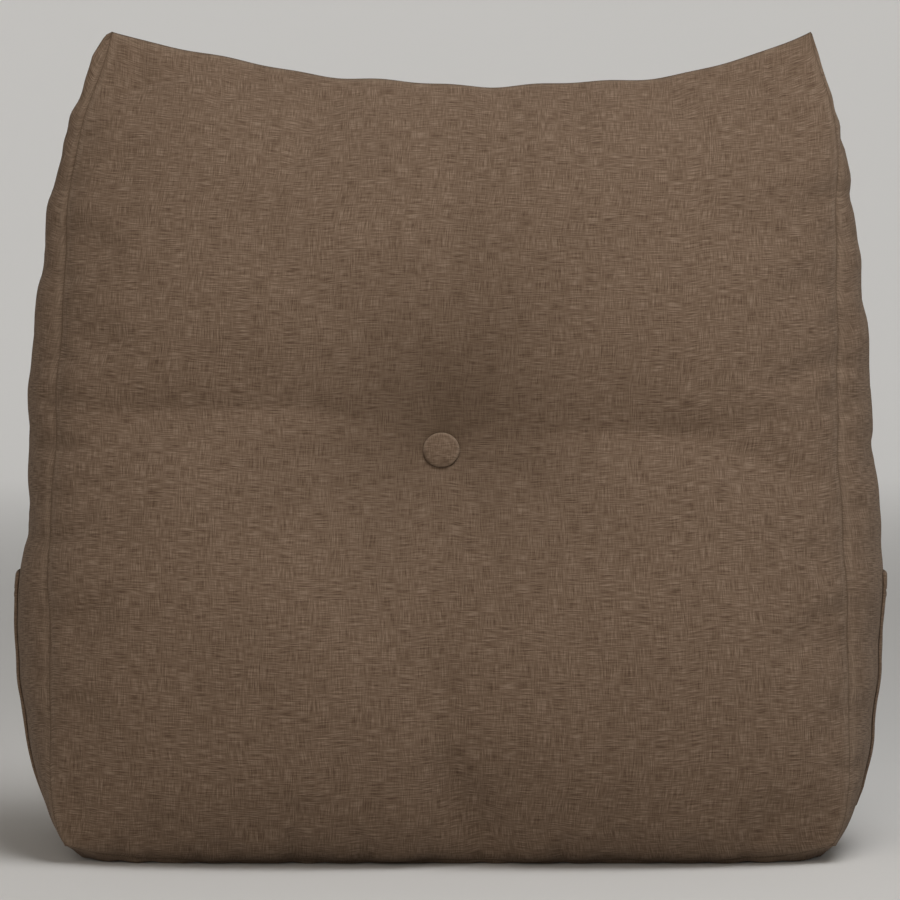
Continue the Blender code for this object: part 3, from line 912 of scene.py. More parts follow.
def distance_from(grid, border):
    """How far over the cloth each point of a grid is from one of its borders."""
    axis = 1 if "column" in border else 0
    steps = np.linalg.norm(np.diff(grid, axis=axis), axis=-1)
    nothing = np.zeros_like(np.take(steps, [0], axis=axis))
    if border.startswith("first"):
        return np.concatenate((nothing, np.cumsum(steps, axis=axis)), axis=axis)
    backwards = np.flip(np.cumsum(np.flip(steps, axis), axis=axis), axis)
    return np.concatenate((backwards, nothing), axis=axis)


def eased(distance, width):
    """0 at a distance of 0 and 1 from the width on, smoothly."""
    t = np.clip(distance / width, 0.0, 1.0)
    return t * t * (3.0 - 2.0 * t)


def on_border(grid):
    border = np.ones(grid.shape[:2], bool)
    border[1:-1, 1:-1] = False
    return border


front_width = distance_from(panels["front"], "first column").max()
print("Widest run over the front panel", round(float(front_width), 3), "m")

# %% [markdown]
# ## Letting the cloth settle
#
# Real stuffing pushes the cover out until it is taut, and the little slack that is left turns
# into creases that nobody would place by hand. Blender's Cloth does the same: pressure inside,
# no gravity, and rest lengths a little longer than the start so that there is slack. Seams,
# the floor patch and the button's seat are pinned. The simulation runs on every second grid
# line to stay quick. It swells the pillow as a whole and also creases it. The form is already
# right, so the swelling is taken off again and only a share of the creases is kept, least on
# the sides, where they would disturb the outline. They fade towards seams and deep folds.

# %% Cloth simulation
SIM_FRAMES = 20
SLACK = 0.035
CLOTH_SETTINGS = {
    "quality": 6,
    "mass": 0.3,
    "tension_stiffness": 20.0,
    "compression_stiffness": 20.0,
    "shear_stiffness": 8.0,
    "bending_stiffness": 0.4,
    "use_pressure": True,
    "uniform_pressure_force": 4.0,
    "vertex_group_mass": "held",
    "shrink_min": -SLACK,
}
HELD_NEAR_BUTTON = 0.020


def held_points(grids, numbers, count):
    """Which mesh points the simulation may not move."""
    held = np.zeros(count, bool)
    for name, grid in grids.items():
        pinned = on_border(grid)
        if name == "base":
            pinned |= grid[..., 2] < GAP
        if name == "front":
            x, z = grid[..., 0] - shift[0], grid[..., 2]
            pinned |= np.hypot(x - BUTTON_X, z - BUTTON_Z) < HELD_NEAR_BUTTON
        held[numbers[name][pinned]] = True
    return held


def settle(grids):
    """Run Cloth on the sewn grids and return how far each grid point moved."""
    mesh, numbers = sewn_mesh("Settling cover", grids)
    item = new_object("Settling_cover", mesh)
    held = np.flatnonzero(held_points(grids, numbers, len(mesh.vertices)))
    item.vertex_groups.new(name="held").add(held.tolist(), 1.0, "REPLACE")
    modifier = item.modifiers.new("Cloth", "CLOTH")
    for setting, value in CLOTH_SETTINGS.items():
        setattr(modifier.settings, setting, value)
    modifier.settings.effector_weights.gravity = 0.0
    modifier.collision_settings.use_collision = False
    modifier.point_cache.frame_start = 1
    modifier.point_cache.frame_end = SIM_FRAMES
    for step in range(1, SIM_FRAMES + 1):
        bpy.context.scene.frame_set(step)
    evaluated = item.evaluated_get(bpy.context.evaluated_depsgraph_get())
    settled = np.empty(len(mesh.vertices) * 3, np.float32)
    evaluated.data.vertices.foreach_get("co", settled)
    settled = settled.reshape(-1, 3).astype(float)
    bpy.data.objects.remove(item)
    bpy.context.scene.frame_set(1)
    return {name: settled[numbers[name]] - grid for name, grid in grids.items()}


settled_moves = settle({name: grid[::2, ::2] for name, grid in panels.items()})

print("Settled", ", ".join(settled_moves), "over", SIM_FRAMES, "frames")

# %% [markdown]
# What smoothing leaves of the moves is the swelling, and the rest is the creases. A share of
# them is laid on the fine grids, and no point moves further than the largest move.

# %% Keeping the creases
CREASES_KEPT = {"front": 0.6, "back": 0.6, "base": 0.3, "left": 0.2, "right": 0.2}
CREASES_FADE = 0.035
VALLEY_FADE = 0.050
LARGEST_MOVE = 0.006
SMOOTHING_PASSES = 60

for name, moves in settled_moves.items():
    kept = (moves - smoothed(moves, SMOOTHING_PASSES)) * CREASES_KEPT[name]
    coarse = panels[name][::2, ::2]
    borders = ("first row", "last row", "first column", "last column")
    from_seam = np.minimum.reduce([distance_from(coarse, border) for border in borders])
    kept *= eased(from_seam, CREASES_FADE)[..., None]
    if name == "front":
        x, z = coarse[..., 0] - shift[0], coarse[..., 2]
        from_fold = np.minimum.reduce([gap_to_chain(x, z, row["points"])[0] for row in VALLEYS])
        kept *= eased(from_fold, VALLEY_FADE)[..., None]
    length = np.linalg.norm(kept, axis=-1, keepdims=True)
    kept *= np.minimum(LARGEST_MOVE / np.maximum(length, 1e-12), 1.0)
    panels[name] = panels[name] + doubled(kept)
    print(name, "moved", round(float(np.abs(moves).max()) * 1000, 1), "mm, kept",
          round(float(length.max()) * 1000, 1), "mm")

# %% [markdown]
# ## Seams, gathers and the finer creases
#
# A seam of stuffed cloth has three signs. The seam itself is a narrow groove. Beside it the
# turned-in edge makes a low lip on each side. And because the thread is a little tighter than
# the cloth, short gathers cross it every few centimetres. A bump map wouldn't change the
# outline, so they are laid over the settled form as relief along the normals. The gathers at
# the front seams stand at the heights where the real pillow has them, and the rest are spread
# by a seeded random draw. The thread also draws a band beside the seam in.

# %% Relief along the seams
LIP_HEIGHT = 0.0002
LIP_PLACE = 0.0034
LIP_WIDTH = 0.0022
LIP_LOST = 0.6           # how far a gather flattens the lip
TAUT_SLOPE = 0.24
TAUT_REACH = 0.006
SEAM_BAND = 0.003
PUFF = {"share": 0.35, "place": 2.0, "width": 1.1}     # the cloth swells between gathers
# share of painted shade in the gathers near a seam
GATHER_SHADE = 0.25
GATHER_DEPTH = 0.0014
GATHER_WIDTH = 0.0048
GATHER_REACH = 0.008
GATHER_SPACING = 0.027
GATHER_SLANT = 0.25
LEFT_GATHERS = (
    0.429, 0.402, 0.370, 0.343, 0.298, 0.271, 0.243, 0.216, 0.188, 0.147, 0.112, 0.081)
RIGHT_GATHERS = (
    0.422, 0.396, 0.369, 0.337, 0.318, 0.293, 0.273, 0.262, 0.205, 0.150, 0.088, 0.055)
SEED = 24

random = np.random.default_rng(SEED)


def ridge(distance, place, width):
    """1 at the place and falling to 0 on both sides of it."""
    return np.exp(-(((distance - place) / width) ** 2))


def spread_gathers(low, high):
    """Places of gathers at uneven distances of about GATHER_SPACING."""
    count = int(round((high - low) / GATHER_SPACING))
    even = low + (np.arange(count) + 0.5) * (high - low) / count
    return even + random.uniform(-0.3, 0.3, count) * GATHER_SPACING


def with_strengths(places):
    """Rows of (place, strength, slant) for a seam's gathers."""
    places = np.asarray(places)
    strengths = random.uniform(0.45, 1.0, len(places))
    slants = random.uniform(-GATHER_SLANT, GATHER_SLANT, len(places))
    return np.stack((places, strengths, slants), axis=-1)


half_width = float(SECTIONS[0, 1])
GATHERS = {
    "left front": with_strengths(LEFT_GATHERS),
    "right front": with_strengths(RIGHT_GATHERS),
    "left back": with_strengths(spread_gathers(0.03, 0.46)),
    "right back": with_strengths(spread_gathers(0.03, 0.46)),
    "ridge": with_strengths(spread_gathers(-half_width * 0.85, half_width * 0.85)),
    "front foot": with_strengths(spread_gathers(-half_width * 0.9, half_width * 0.9)),
    "back foot": with_strengths(spread_gathers(-half_width * 0.9, half_width * 0.9)),
    "left foot": with_strengths(spread_gathers(-0.06, 0.08)),
    "right foot": with_strengths(spread_gathers(-0.06, 0.08)),
}
GATHER_SHARE = {"ridge": 0.35, "front foot": 0.7}

# For each panel its four seams: which border it is, the gathers on it and the axis they run on
SEAMS = {
    "front": (("first column", "left front", 2), ("last column", "right front", 2),
              ("last row", "ridge", 0), ("first row", "front foot", 0)),
    "back": (("first column", "left back", 2), ("last column", "right back", 2),
             ("last row", "ridge", 0), ("first row", "back foot", 0)),
    "left": (("first column", "left front", 2), ("last column", "left back", 2),
             ("first row", "left foot", 1)),
    "right": (("first column", "right front", 2), ("last column", "right back", 2),
              ("first row", "right foot", 1)),
    "base": (("first row", "front foot", 0), ("last row", "back foot", 0),
             ("first column", "left foot", 1), ("last column", "right foot", 1)),
}


def seam_relief(grid, name):
    """Relief, rub, hollow and nearness to the seam of a panel, from all its seams; hollow is
    painted shade in the gathers.
    """
    relief = np.zeros(grid.shape[:2])
    rub, hollow, seam = (np.zeros_like(relief) for _ in range(3))
    for border, gathers, axis in SEAMS[name]:
        away = distance_from(grid, border)
        lip = ridge(away, LIP_PLACE, LIP_WIDTH)
        fade = away / GATHER_REACH * np.exp(1.0 - away / GATHER_REACH)
        waves = np.zeros_like(relief)
        for place, strength, slant in GATHERS[gathers]:
            off = (grid[..., axis] - place - slant * away) / GATHER_WIDTH
            puff = PUFF["share"] * ridge(np.abs(off), PUFF["place"], PUFF["width"])
            waves += strength * (ridge(off, 0.0, 1.0) - puff)
        share = GATHER_SHARE.get(gathers, 1.0)
        gathered = np.clip(waves, 0.0, 1.0)
        relief += LIP_HEIGHT * lip * (1.0 - gathered * LIP_LOST)
        relief -= GATHER_DEPTH * share * fade * waves
        relief -= TAUT_SLOPE * away * np.exp(-away / TAUT_REACH)
        rub = np.maximum(rub, lip * (1.0 - gathered / 2.0))
        seam = np.maximum(seam, 1.0 - away / SEAM_BAND)
        # painted shade in the gathers beside the seam
        hollow = np.maximum(hollow, GATHER_SHADE * fade * gathered * share)
    return relief, rub, hollow, seam


print(sum(len(rows) for rows in GATHERS.values()), "gathers on", len(GATHERS), "seams")

# %% [markdown]
# The side panels carry a few longer creases of their own, each a row with its height at the
# front seam, its lean towards the back, its depth and its width. The highest on each side
# reaches the outline as a small notch. On the front the finer creases fade towards the seams
# and the button.

# %% Side creases
SIDE_CREASES = {
    "left": (
        {"z": 0.459, "lean": -0.10, "depth": 0.0012, "width": 0.0060},
        {"z": 0.400, "lean": 0.20, "depth": 0.0008, "width": 0.0090},
        {"z": 0.352, "lean": -0.22, "depth": 0.0009, "width": 0.0080},
        {"z": 0.280, "lean": 0.18, "depth": 0.0008, "width": 0.0100},
        {"z": 0.214, "lean": -0.12, "depth": 0.0008, "width": 0.0090},
        {"z": 0.110, "lean": 0.10, "depth": 0.0010, "width": 0.0110},
    ),
    "right": (
        {"z": 0.427, "lean": 0.08, "depth": 0.0018, "width": 0.0060},
        {"z": 0.372, "lean": -0.20, "depth": 0.0008, "width": 0.0090},
        {"z": 0.322, "lean": 0.16, "depth": 0.0009, "width": 0.0090},
        {"z": 0.247, "lean": -0.14, "depth": 0.0005, "width": 0.0100},
        {"z": 0.200, "lean": 0.10, "depth": 0.0006, "width": 0.0080},
        {"z": 0.090, "lean": -0.10, "depth": 0.0010, "width": 0.0110},
    ),
}
SIDE_CREASE_FADE = 0.6
CREASES_END = 0.030      # the front's creases fade out over this much before a seam
CREASES_START = 0.016    # and over this much around the button


def side_crease_relief(name, grid, deep):
    relief = np.zeros(grid.shape[:2])
    for row in SIDE_CREASES[name]:
        height = row["z"] + row["lean"] * (grid[..., 1] - grid[:, :1, 1])
        crease = ridge(grid[..., 2], height, row["width"])
        relief -= row["depth"] * crease * (4.0 * deep * (1.0 - deep)) ** SIDE_CREASE_FADE
    return relief


def front_crease_relief(grid):
    x, z = grid[..., 0] - shift[0], grid[..., 2]
    from_seam = np.minimum.reduce([distance_from(grid, border) for border, _, _ in SEAMS["front"]])
    from_seat = np.hypot(x - BUTTON_X, z - BUTTON_Z) - SEAT_RADIUS
    fade = np.clip(from_seam / CREASES_END, 0.0, 1.0) * np.clip(from_seat / CREASES_START, 0.0, 1.0)
    return -fade * sum(fold_depth(x, z, row) for row in CREASES)


print(sum(len(rows) for rows in SIDE_CREASES.values()), "creases on the sides")

# %% [markdown]
# Close around the button the cloth is drawn into small pleats that all point at it. They are a
# ring of waves that starts at the seat and dies out over two or three centimetres. The cloth in
# the dimple also gets painted shade, darkest above the button.

# %% Pleats around the button
PLEAT_COUNT = 11
PLEAT_DEPTH = 0.0009
PLEAT_START = 0.0125
PLEAT_REACH = 0.013
PLEAT_WIDTH = 0.13
# Painted shade in the dimple, strongest above the button
TUFT_SHADE = 0.90
TUFT_SHADE_BELOW = 0.35
TUFT_SHADE_REACH = 0.066
TUFT_SHADE_POWER = 1.4
pleat_angles = np.sort(random.uniform(0.0, 2.0 * math.pi, PLEAT_COUNT))
pleat_strengths = random.uniform(0.4, 1.0, PLEAT_COUNT)


def pleat_relief(grid):
    x, z = grid[..., 0] - shift[0] - BUTTON_X, grid[..., 2] - BUTTON_Z
    away, angle = np.hypot(x, z), np.arctan2(z, x)
    beyond = np.maximum(away - PLEAT_START, 0.0) / PLEAT_REACH
    fade = beyond * np.exp(1.0 - beyond)
    waves = np.zeros_like(away)
    for spot, strength in zip(pleat_angles, pleat_strengths):
        turn = np.abs((angle - spot + math.pi) % (2.0 * math.pi) - math.pi)
        waves += strength * ridge(turn, 0.0, PLEAT_WIDTH)
    return -PLEAT_DEPTH * fade * waves


def tuft_shade(grid):
    """How much painted shade darkens the cloth in the dimple."""
    x, z = grid[..., 0] - shift[0] - BUTTON_X, grid[..., 2] - BUTTON_Z
    away = np.maximum(np.hypot(x, z) - SEAT_RADIUS, 0.0)
    above = 0.5 + 0.5 * z / np.maximum(np.hypot(x, z), 1e-9)
    share = mix(TUFT_SHADE_BELOW, 1.0, above)
    return TUFT_SHADE * share * np.exp(-((away / TUFT_SHADE_REACH) ** TUFT_SHADE_POWER))


print(PLEAT_COUNT, "pleats around the button")

# %% [markdown]
# All the relief is laid on the panels along their normals. Their borders stay where they are, so
# that neighbours still meet, and the five panels are sewn into the cover.

# %% The cover
panel_rub, panel_hollow, panel_seam = {}, {}, {}
finished = {}
for name, grid in panels.items():
    relief, panel_rub[name], panel_hollow[name], panel_seam[name] = seam_relief(grid, name)
    if name == "front":
        relief += front_crease_relief(grid) + pleat_relief(grid)
        # the dimple's painted shade joins the front's hollow mask
        panel_hollow[name] = np.maximum(panel_hollow[name], tuft_shade(grid))
    if name in SIDE_CREASES:
        relief += side_crease_relief(name, grid, DEEP[None, :])
    finished[name] = grid + outward(grid, name) * relief[..., None]
    finished[name][..., 2] = np.maximum(finished[name][..., 2], 0.0)
    border = on_border(grid)
    finished[name][border] = grid[border]
    print(name, "relief from", round(float(relief.min()) * 1000, 2), "to",
          round(float(relief.max()) * 1000, 2), "mm")

# rub carries wear; hollow and seam carry painted shade
cover_mesh, _ = sewn_mesh(
    "Pillow cover", finished, {"rub": panel_rub, "hollow": panel_hollow, "seam": panel_seam})
cover = new_object("pillow_cover", cover_mesh, cloth["cover"])
print("Cover with", len(cover_mesh.vertices), "points and", len(cover_mesh.polygons), "faces")

# %% [markdown]
# ## The covered button
#
# A cover button is a domed metal shell with a disc of the same cloth pulled over it and tucked
# in behind, in small pleats. A scaled sphere would miss the rim and the pleats, so a profile is
# turned about the button's axis, from the foot over the rim to the crown, and the pleats are
# waves on its underside. One short fold crosses the dome near its edge. The button stands in
# the seat at the bottom of the dimple, square to it.

# %% Button
BUTTON_RADIUS = 0.0108
BUTTON_DOME = 0.0030
BUTTON_RIM_LIFT = 0.0013
BUTTON_FOOT_RADIUS = 0.004
BUTTON_SEGMENTS = 96
BUTTON_DOME_RINGS = 22
BUTTON_UNDER_RINGS = 8
BUTTON_SQUARENESS = 0.72     # under 1 makes the dome flatter on top and rounder at the rim
TUCKS = 22
TUCK_DEPTH = 0.00028
TUCK_WAVER, TUCK_WAVERS = 0.7, 3.0
# painted shade in the tucks under the button
TUCK_SHADE = 0.8
RIM_RUB = (0.001, 0.0009)    # height over the rim's lift of the rubbed ring, and half its width
BUTTON_FOLD = ((0.0045, -0.0042), (0.0098, -0.0012))
BUTTON_FOLD_DEPTH = 0.00030
BUTTON_FOLD_WIDTH = 0.0009
PROBE = 0.002
HALVINGS = 40


def place_on_front(x, z):
    """The front panel's (across, up) at a point of the face."""
    low, high = 0.0, 1.0
    for _ in range(HALVINGS):
        up = np.array((low + high) / 2.0)
        left, right = seam_x(np.array(-1.0), up), seam_x(np.array(1.0), up)
        across = 2.0 * (x - left) / (right - left) - 1.0
        low, high = (float(up), high) if seam_height(across, up) < z else (low, float(up))
    return across, up


def button_frame():
    """A matrix from the button's own axes to its seat in the dimple."""
    across, up = place_on_front(BUTTON_X, BUTTON_Z)
    sideways = front_points(across + PROBE, up) - front_points(across - PROBE, up)
    upwards = front_points(across, up + PROBE) - front_points(across, up - PROBE)
    out = Vector(np.cross(sideways, upwards)).normalized()
    right = Vector(sideways).normalized()
    top = out.cross(right)
    turn = Matrix((right, top, out)).transposed().to_4x4()
    return Matrix.Translation(Vector(front_points(across, up) + shift)) @ turn


def button_profile():
    """Rings as (radius, height, share of the tucks) from the foot over the rim to the crown."""
    rings = []
    for step in range(BUTTON_UNDER_RINGS):
        t = step / BUTTON_UNDER_RINGS
        radius = mix(BUTTON_FOOT_RADIUS, BUTTON_RADIUS, t**0.8)
        rings.append((radius, GAP + (BUTTON_RIM_LIFT - GAP) * t**1.6, math.sin(math.pi * t)))
    for step in range(BUTTON_DOME_RINGS):
        turn = math.pi / 2.0 * step / BUTTON_DOME_RINGS
        radius = BUTTON_RADIUS * math.cos(turn) ** BUTTON_SQUARENESS
        rings.append((radius, BUTTON_RIM_LIFT + BUTTON_DOME * math.sin(turn), 0.0))
    return rings


print("Button", 2000.0 * BUTTON_RADIUS, "mm across with", len(button_profile()), "rings")

# %% Sewing the button together


def make_button():
    angles = np.arange(BUTTON_SEGMENTS) * 2.0 * math.pi / BUTTON_SEGMENTS
    points, rub, hollow = [], [], []
    for radius, height, tucked in button_profile():
        uneven = TUCK_WAVER * np.sin(TUCK_WAVERS * angles)
        wave = TUCK_DEPTH * tucked * np.cos(TUCKS * angles + uneven)
        off_rim = abs(height - BUTTON_RIM_LIFT - RIM_RUB[0])
        for angle, out in zip(angles, radius + wave):
            points.append([out * math.cos(angle), out * math.sin(angle), height])
            rub.append(1.0 if off_rim < RIM_RUB[1] else 0.0)
            # the tucks under the button get painted shade
            hollow.append(tucked * TUCK_SHADE)
    points = np.array(points)
    fold_start, fold_end = np.array(BUTTON_FOLD)
    run = fold_end - fold_start
    t = np.clip((points[:, :2] - fold_start) @ run / (run @ run), 0.0, 1.0)
    gap = np.linalg.norm(points[:, :2] - fold_start - t[:, None] * run, axis=1)
    on_dome = points[:, 2] > BUTTON_RIM_LIFT
    points[:, 2] -= on_dome * BUTTON_FOLD_DEPTH * ridge(gap, 0.0, BUTTON_FOLD_WIDTH)
    rings = len(button_profile())
    crown = rings * BUTTON_SEGMENTS
    all_points = points.tolist() + [[0.0, 0.0, BUTTON_RIM_LIFT + BUTTON_DOME]]
    faces = [list(range(BUTTON_SEGMENTS))[::-1]]
    for i in range(BUTTON_SEGMENTS):
        after = (i + 1) % BUTTON_SEGMENTS
        for ring in range(rings - 1):
            low, high = ring * BUTTON_SEGMENTS, (ring + 1) * BUTTON_SEGMENTS
            faces.append([low + i, low + after, high + after, high + i])
        faces.append([crown - BUTTON_SEGMENTS + i, crown - BUTTON_SEGMENTS + after, crown])
    mesh = bpy.data.meshes.new("Covered button")
    mesh.from_pydata(all_points, [], faces)
    layer = mesh.uv_layers.new(name="Cloth").uv
    for loop in mesh.loops:
        layer[loop.index].vector = all_points[loop.vertex_index][:2]
    for label, values in (("rub", rub + [0.0]), ("hollow", hollow + [0.0])):
        mesh.attributes.new(label, "FLOAT", "POINT").data.foreach_set("value", values)
    mesh.transform(button_frame())
    mesh.shade_smooth()
    return new_object("tuft_button_cover", mesh, cloth["button"])


button = make_button()
print("Button with", len(button.data.polygons), "faces")

# %% [markdown]
# ## The side pockets
#
# Each pocket is one layer of the cover's cloth, turned under along three edges and sewn flat on
# the side panel, with a wider hem at its open top. A separate flat sheet would not fit the
# bulging side, so the pocket is read off the finished side panel: its inner face lies a hair
# above that panel, and its outer face adds the cloth's thickness, twice as much where the edge
# is turned under. At the mouth it stands off a little, as a pocket that has been used does.

# %% Pockets
POCKET_FRONT, POCKET_BACK = 0.310, 0.9525
POCKET_FOOT, POCKET_MOUTH = 0.0385, 0.320
POCKET_STEPS_DEEP, POCKET_STEPS_UP = 56, 72
POCKET_CLOTH = 0.0013
POCKET_TURNED = 0.0017
POCKET_HEM = 0.0020
HEM_HEIGHT = 0.014
TURNED_WIDTH = 0.006
EDGE_ROUND = 0.0026
TURNED_EASE, HEM_EASE = 0.0015, 0.0050     # over which the cloth steps down to one layer
MOUTH_GAPE = 0.0003
MOUTH_REACH = 0.020
MOUTH_GAPE_START = 0.030
STITCH_INSET = 0.0035
HEM_STITCH_INSET = 0.0115
STITCH_BAND = 0.0012
STITCH_PRESS = 0.25
HEM_LIP = (0.0020, 0.0018)       # distance from the mouth and width of the rubbed band
EDGE_LIP = (0.0015, 0.0015)
# share of wear on the hem and edge lips, and of painted shade along the pressed stitch lines
POCKET_WEAR_AND_SHADE = 0.4
NORMAL_PASSES = 12


def resampled(field, ups, deeps):
    """A side panel's field read at other rows and columns."""
    rows = np.interp(ups, UP, np.arange(len(UP)))
    columns = np.interp(deeps, DEEP, np.arange(len(DEEP)))
    row = np.minimum(rows.astype(int), len(UP) - 2)
    column = np.minimum(columns.astype(int), len(DEEP) - 2)
    t, s = (rows - row)[:, None, None], (columns - column)[None, :, None]
    low = mix(field[row][:, column], field[row][:, column + 1], s)
    high = mix(field[row + 1][:, column], field[row + 1][:, column + 1], s)
    return mix(low, high, t)


def pocket_layers(name):
    """Inner and outer grids of a pocket, and how far their points are from edges and mouth."""
    ups = mix(POCKET_FOOT, POCKET_MOUTH, spacing(POCKET_STEPS_UP, 1))
    deeps = mix(POCKET_FRONT, POCKET_BACK, spacing(POCKET_STEPS_DEEP, 1))
    under = resampled(finished[name], ups, deeps)
    out = resampled(outward(smoothed(finished[name], NORMAL_PASSES), name), ups, deeps)
    from_mouth = distance_from(under, "last row")
    edges = [distance_from(under, b) for b in ("first column", "last column", "first row")]
    from_edge = np.minimum.reduce(edges)
    gape = MOUTH_GAPE * np.exp(-from_mouth / MOUTH_REACH) * eased(from_edge, MOUTH_GAPE_START)
    inner = under + out * (GAP + gape)[..., None]
    turned = mix(POCKET_TURNED, POCKET_CLOTH, eased(from_edge - TURNED_WIDTH, TURNED_EASE))
    hem = mix(POCKET_HEM, POCKET_CLOTH, eased(from_mouth - HEM_HEIGHT, HEM_EASE))
    rim = np.minimum(from_edge, from_mouth)
    rounding = np.sqrt(np.clip(1.0 - (1.0 - np.clip(rim / EDGE_ROUND, 0.0, 1.0)) ** 2, 0.0, 1.0))
    thickness = np.maximum(turned, hem) * rounding
    return inner, inner + out * thickness[..., None], from_edge, from_mouth


print("Pocket cloth", 1000.0 * POCKET_CLOTH, "mm thick,", 1000.0 * POCKET_HEM, "mm at the hem")

# %% Making the pockets


def make_pocket(side_name):
    inner, outer, from_edge, from_mouth = pocket_layers(side_name)
    hem_lip, edge_lip = ridge(from_mouth, *HEM_LIP), ridge(from_edge, *EDGE_LIP)
    stitched = ridge(from_edge, STITCH_INSET, STITCH_BAND)
    hem_stitched = ridge(from_mouth, HEM_STITCH_INSET, STITCH_BAND)
    pressed = np.maximum(stitched, hem_stitched)
    outer = outer - (outer - inner) * (STITCH_PRESS * pressed)[..., None]
    # the lips are worn paler; the pressed stitch lines get painted shade
    rub, hollow = POCKET_WEAR_AND_SHADE * np.maximum(hem_lip, edge_lip), POCKET_WEAR_AND_SHADE * pressed
    other = "right" if side_name == "left" else "left"
    grids = {side_name: outer, other: inner}
    none = np.zeros_like(rub)
    mesh, _ = sewn_mesh(
        "Pocket " + side_name, grids,
        {"rub": {other: none, side_name: rub}, "hollow": {other: none, side_name: hollow}})
    return new_object("side_pocket_" + side_name + "_cloth", mesh, cloth["pocket"]), outer


pockets, pocket_faces = {}, {}
for side_name in ("left", "right"):
    pockets[side_name], pocket_faces[side_name] = make_pocket(side_name)
    print("Pocket", side_name, "with", len(pockets[side_name].data.polygons), "faces")

# %% [markdown]
# ## Stitches
#
# A row of lockstitches holds each hem and each sewn edge. They all have the same small form, so
# Geometry Nodes set them out: a path on the pocket becomes a curve, the curve is cut into equal
# steps, a short thread is placed on each step and turned along the path, and a seeded random
# value makes no two alike. The result is made real and turned into a plain mesh.

# %% Thread
STITCH_LENGTH = 0.0030
STITCH_PITCH = 0.0038
THREAD_RADIUS = 0.00030
STITCH_TURN = 0.10
THREAD_COLOUR = (0.135, 0.095, 0.065, 1.0)
THREAD_ROUGHNESS = 0.7
THREAD_RUB = 0.5
PLY_SCALE = 900.0
PLY_BUMP = 0.5
STITCH_SEEDS = {"left": 11, "right": 12}


def thread_material():
    material = plain_material("Sewing thread", THREAD_COLOUR, THREAD_ROUGHNESS)
    tree = material.node_tree
    shader = tree.nodes["Principled BSDF"]
    place = add_node(tree, "ShaderNodeTexCoord").outputs["Object"]
    wear_and_shade_marks = add_node(
        tree, "ShaderNodeGroup", {"Place": place, "Rub": THREAD_RUB, "Mottle size": 0.004},
        node_tree=wear_and_shade)
    colour = mix_colours(tree, wear_and_shade_marks.outputs["Pale"], THREAD_COLOUR, RUBBED)
    tree.links.new(colour, shader.inputs["Base Color"])
    plies = add_node(
        tree, "ShaderNodeTexWave", {"Vector": place, "Scale": PLY_SCALE, "Distortion": 1.0},
        bands_direction="DIAGONAL")
    bump = add_node(
        tree, "ShaderNodeBump",
        {"Height": plies.outputs["Fac"], "Strength": PLY_BUMP, "Distance": THREAD_RADIUS / 3.0})
    tree.links.new(bump.outputs[0], shader.inputs["Normal"])
    shader.inputs["Sheen Weight"].default_value = 0.2
    return material


thread = thread_material()
print("Thread", 2000.0 * THREAD_RADIUS, "mm thick")

# %% Stitch tree


def make_stitch_tree(material):
    tree, given, result = open_group(
        "Row of stitches", "GeometryNodeTree",
        (("Geometry", "NodeSocketGeometry", None), ("Pitch", "NodeSocketFloat", STITCH_PITCH),
         ("Stitch length", "NodeSocketFloat", STITCH_LENGTH),
         ("Thread radius", "NodeSocketFloat", THREAD_RADIUS), ("Seed", "NodeSocketInt", 5)),
        (("Geometry", "NodeSocketGeometry"),))
    path = add_node(tree, "GeometryNodeMeshToCurve", {0: given.outputs["Geometry"]})
    steps = add_node(
        tree, "GeometryNodeResampleCurve",
        {"Curve": path.outputs[0], "Length": given.outputs["Pitch"]}, mode="LENGTH")
    half = math_node(tree, "DIVIDE", given.outputs["Stitch length"], 2.0)
    ball = add_node(tree, "GeometryNodeMeshUVSphere", {"Segments": 8, "Rings": 6, "Radius": 1.0})
    size = add_node(
        tree, "ShaderNodeCombineXYZ",
        {0: half, 1: given.outputs["Thread radius"], 2: given.outputs["Thread radius"]})
    thread = add_node(
        tree, "GeometryNodeTransform", {"Geometry": ball.outputs[0], "Scale": size.outputs[0]})
    along = add_node(tree, "GeometryNodeInputTangent")
    wobble = add_node(tree, "FunctionNodeRandomValue", data_type="FLOAT_VECTOR")
    wobble.inputs[0].default_value = (-STITCH_TURN,) * 3
    wobble.inputs[1].default_value = (STITCH_TURN,) * 3
    tree.links.new(given.outputs["Seed"], wobble.inputs["Seed"])
    aim = add_node(
        tree, "ShaderNodeVectorMath", {0: along.outputs[0], 1: wobble.outputs[0]},
        operation="ADD")
    turn = add_node(
        tree, "FunctionNodeAlignRotationToVector", {"Vector": aim.outputs[0]}, axis="X")
    placed = add_node(
        tree, "GeometryNodeInstanceOnPoints",
        {"Points": steps.outputs[0], "Instance": thread.outputs[0], "Rotation": turn.outputs[0]})
    real = add_node(tree, "GeometryNodeRealizeInstances", {0: placed.outputs[0]})
    smooth = add_node(tree, "GeometryNodeSetShadeSmooth", {0: real.outputs[0]})
    finish = add_node(
        tree, "GeometryNodeSetMaterial", {"Geometry": smooth.outputs[0], "Material": material})
    tree.links.new(finish.outputs[0], result.inputs["Geometry"])
    return tree


stitch_tree = make_stitch_tree(thread)
print("Stitch tree with", len(stitch_tree.nodes), "nodes")

# %% [markdown]
# The paths run round each pocket a few millimetres inside its edges, and once along the hem.
# The modifier's inputs are set by their identifiers before anything is evaluated.

# %% Stitch rows


def path_on(face, rows, columns):
    """Points of a pocket's outer face along a run of rows or columns."""
    return [Vector(face[row, column]) for row, column in zip(rows, columns)]


def nearest_line(distances, inset):
    """Number of the grid line whose distance from an edge is nearest to the inset."""
    return int(np.argmin(np.abs(distances - inset)))


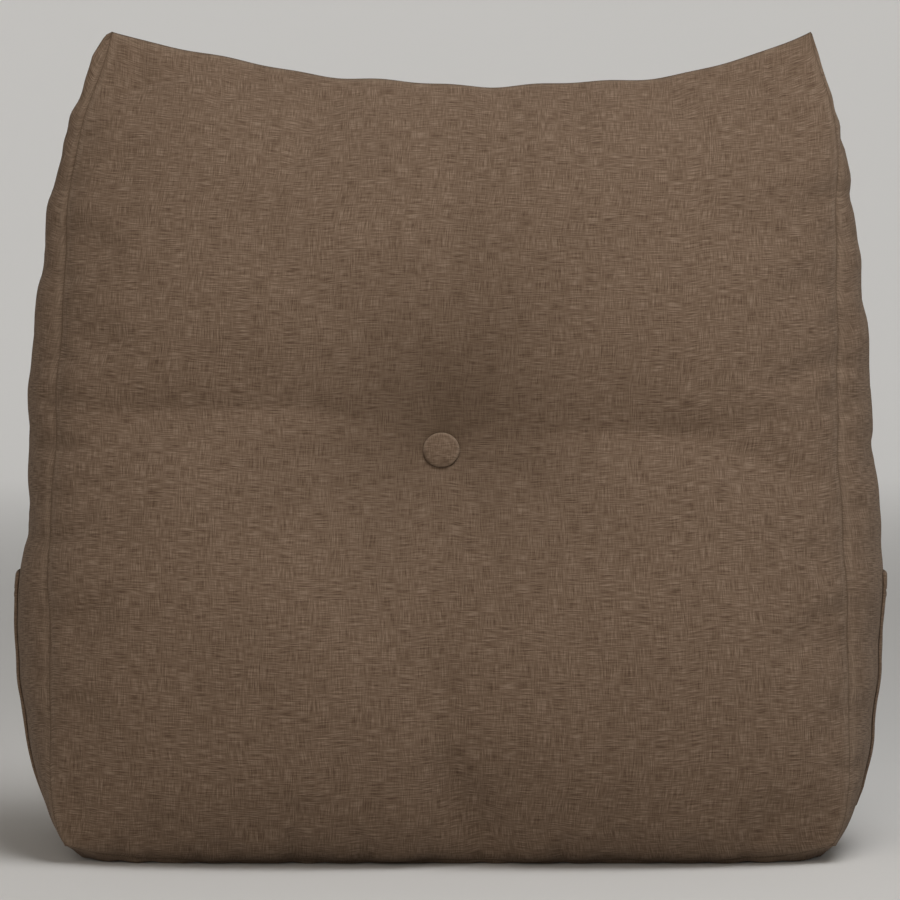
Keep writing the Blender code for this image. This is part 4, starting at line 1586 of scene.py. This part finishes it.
def stitch_paths(face):
    middle_row, middle_column = face.shape[0] // 2, face.shape[1] // 2
    foot = nearest_line(distance_from(face, "first row")[:, middle_column], STITCH_INSET)
    hem = nearest_line(distance_from(face, "last row")[:, middle_column], HEM_STITCH_INSET)
    front = nearest_line(distance_from(face, "first column")[middle_row], STITCH_INSET)
    back = nearest_line(distance_from(face, "last column")[middle_row], STITCH_INSET)
    top = face.shape[0] - 2
    down, up = np.arange(top, foot, -1), np.arange(foot, top + 1)
    over, hem_run = np.arange(front, back), np.arange(front, back + 1)
    rows = np.concatenate((down, np.full(len(over), foot), up))
    columns = np.concatenate((np.full(len(down), front), over, np.full(len(up), back)))
    return [path_on(face, rows, columns), path_on(face, np.full(len(hem_run), hem), hem_run)]


def make_stitches(name, paths, seed):
    points, edges = [], []
    for path in paths:
        start = len(points)
        points += path
        edges += [(i, i + 1) for i in range(start, len(points) - 1)]
    mesh = bpy.data.meshes.new(name + " path")
    mesh.from_pydata(points, edges, [])
    guide = new_object(name + "_path", mesh)
    modifier = guide.modifiers.new("Stitches", "NODES")
    modifier.node_group = stitch_tree
    values = {"Pitch": STITCH_PITCH, "Stitch length": STITCH_LENGTH,
              "Thread radius": THREAD_RADIUS, "Seed": seed}
    for socket in stitch_tree.interface.items_tree:
        if socket.in_out == "INPUT" and socket.name in values:
            modifier[socket.identifier] = values[socket.name]
    depsgraph = bpy.context.evaluated_depsgraph_get()
    made = bpy.data.meshes.new_from_object(guide.evaluated_get(depsgraph), depsgraph=depsgraph)
    made.name = name
    bpy.data.objects.remove(guide)
    return new_object(name, made)


stitches = {}
for side_name, face in pocket_faces.items():
    stitches[side_name] = make_stitches(
        "side_pocket_" + side_name + "_stitches", stitch_paths(face), STITCH_SEEDS[side_name])
    print("Stitches", side_name, "with", len(stitches[side_name].data.polygons), "faces")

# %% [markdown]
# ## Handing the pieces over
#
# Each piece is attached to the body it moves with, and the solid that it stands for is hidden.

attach(cover, "root")
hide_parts("cushion")

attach(button, "root")
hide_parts("tuft_button")

for side_name, pocket in pockets.items():
    face = pocket_faces[side_name]
    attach(pocket, "root")
    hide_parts("side_pocket_" + side_name)
    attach(stitches[side_name], "root")
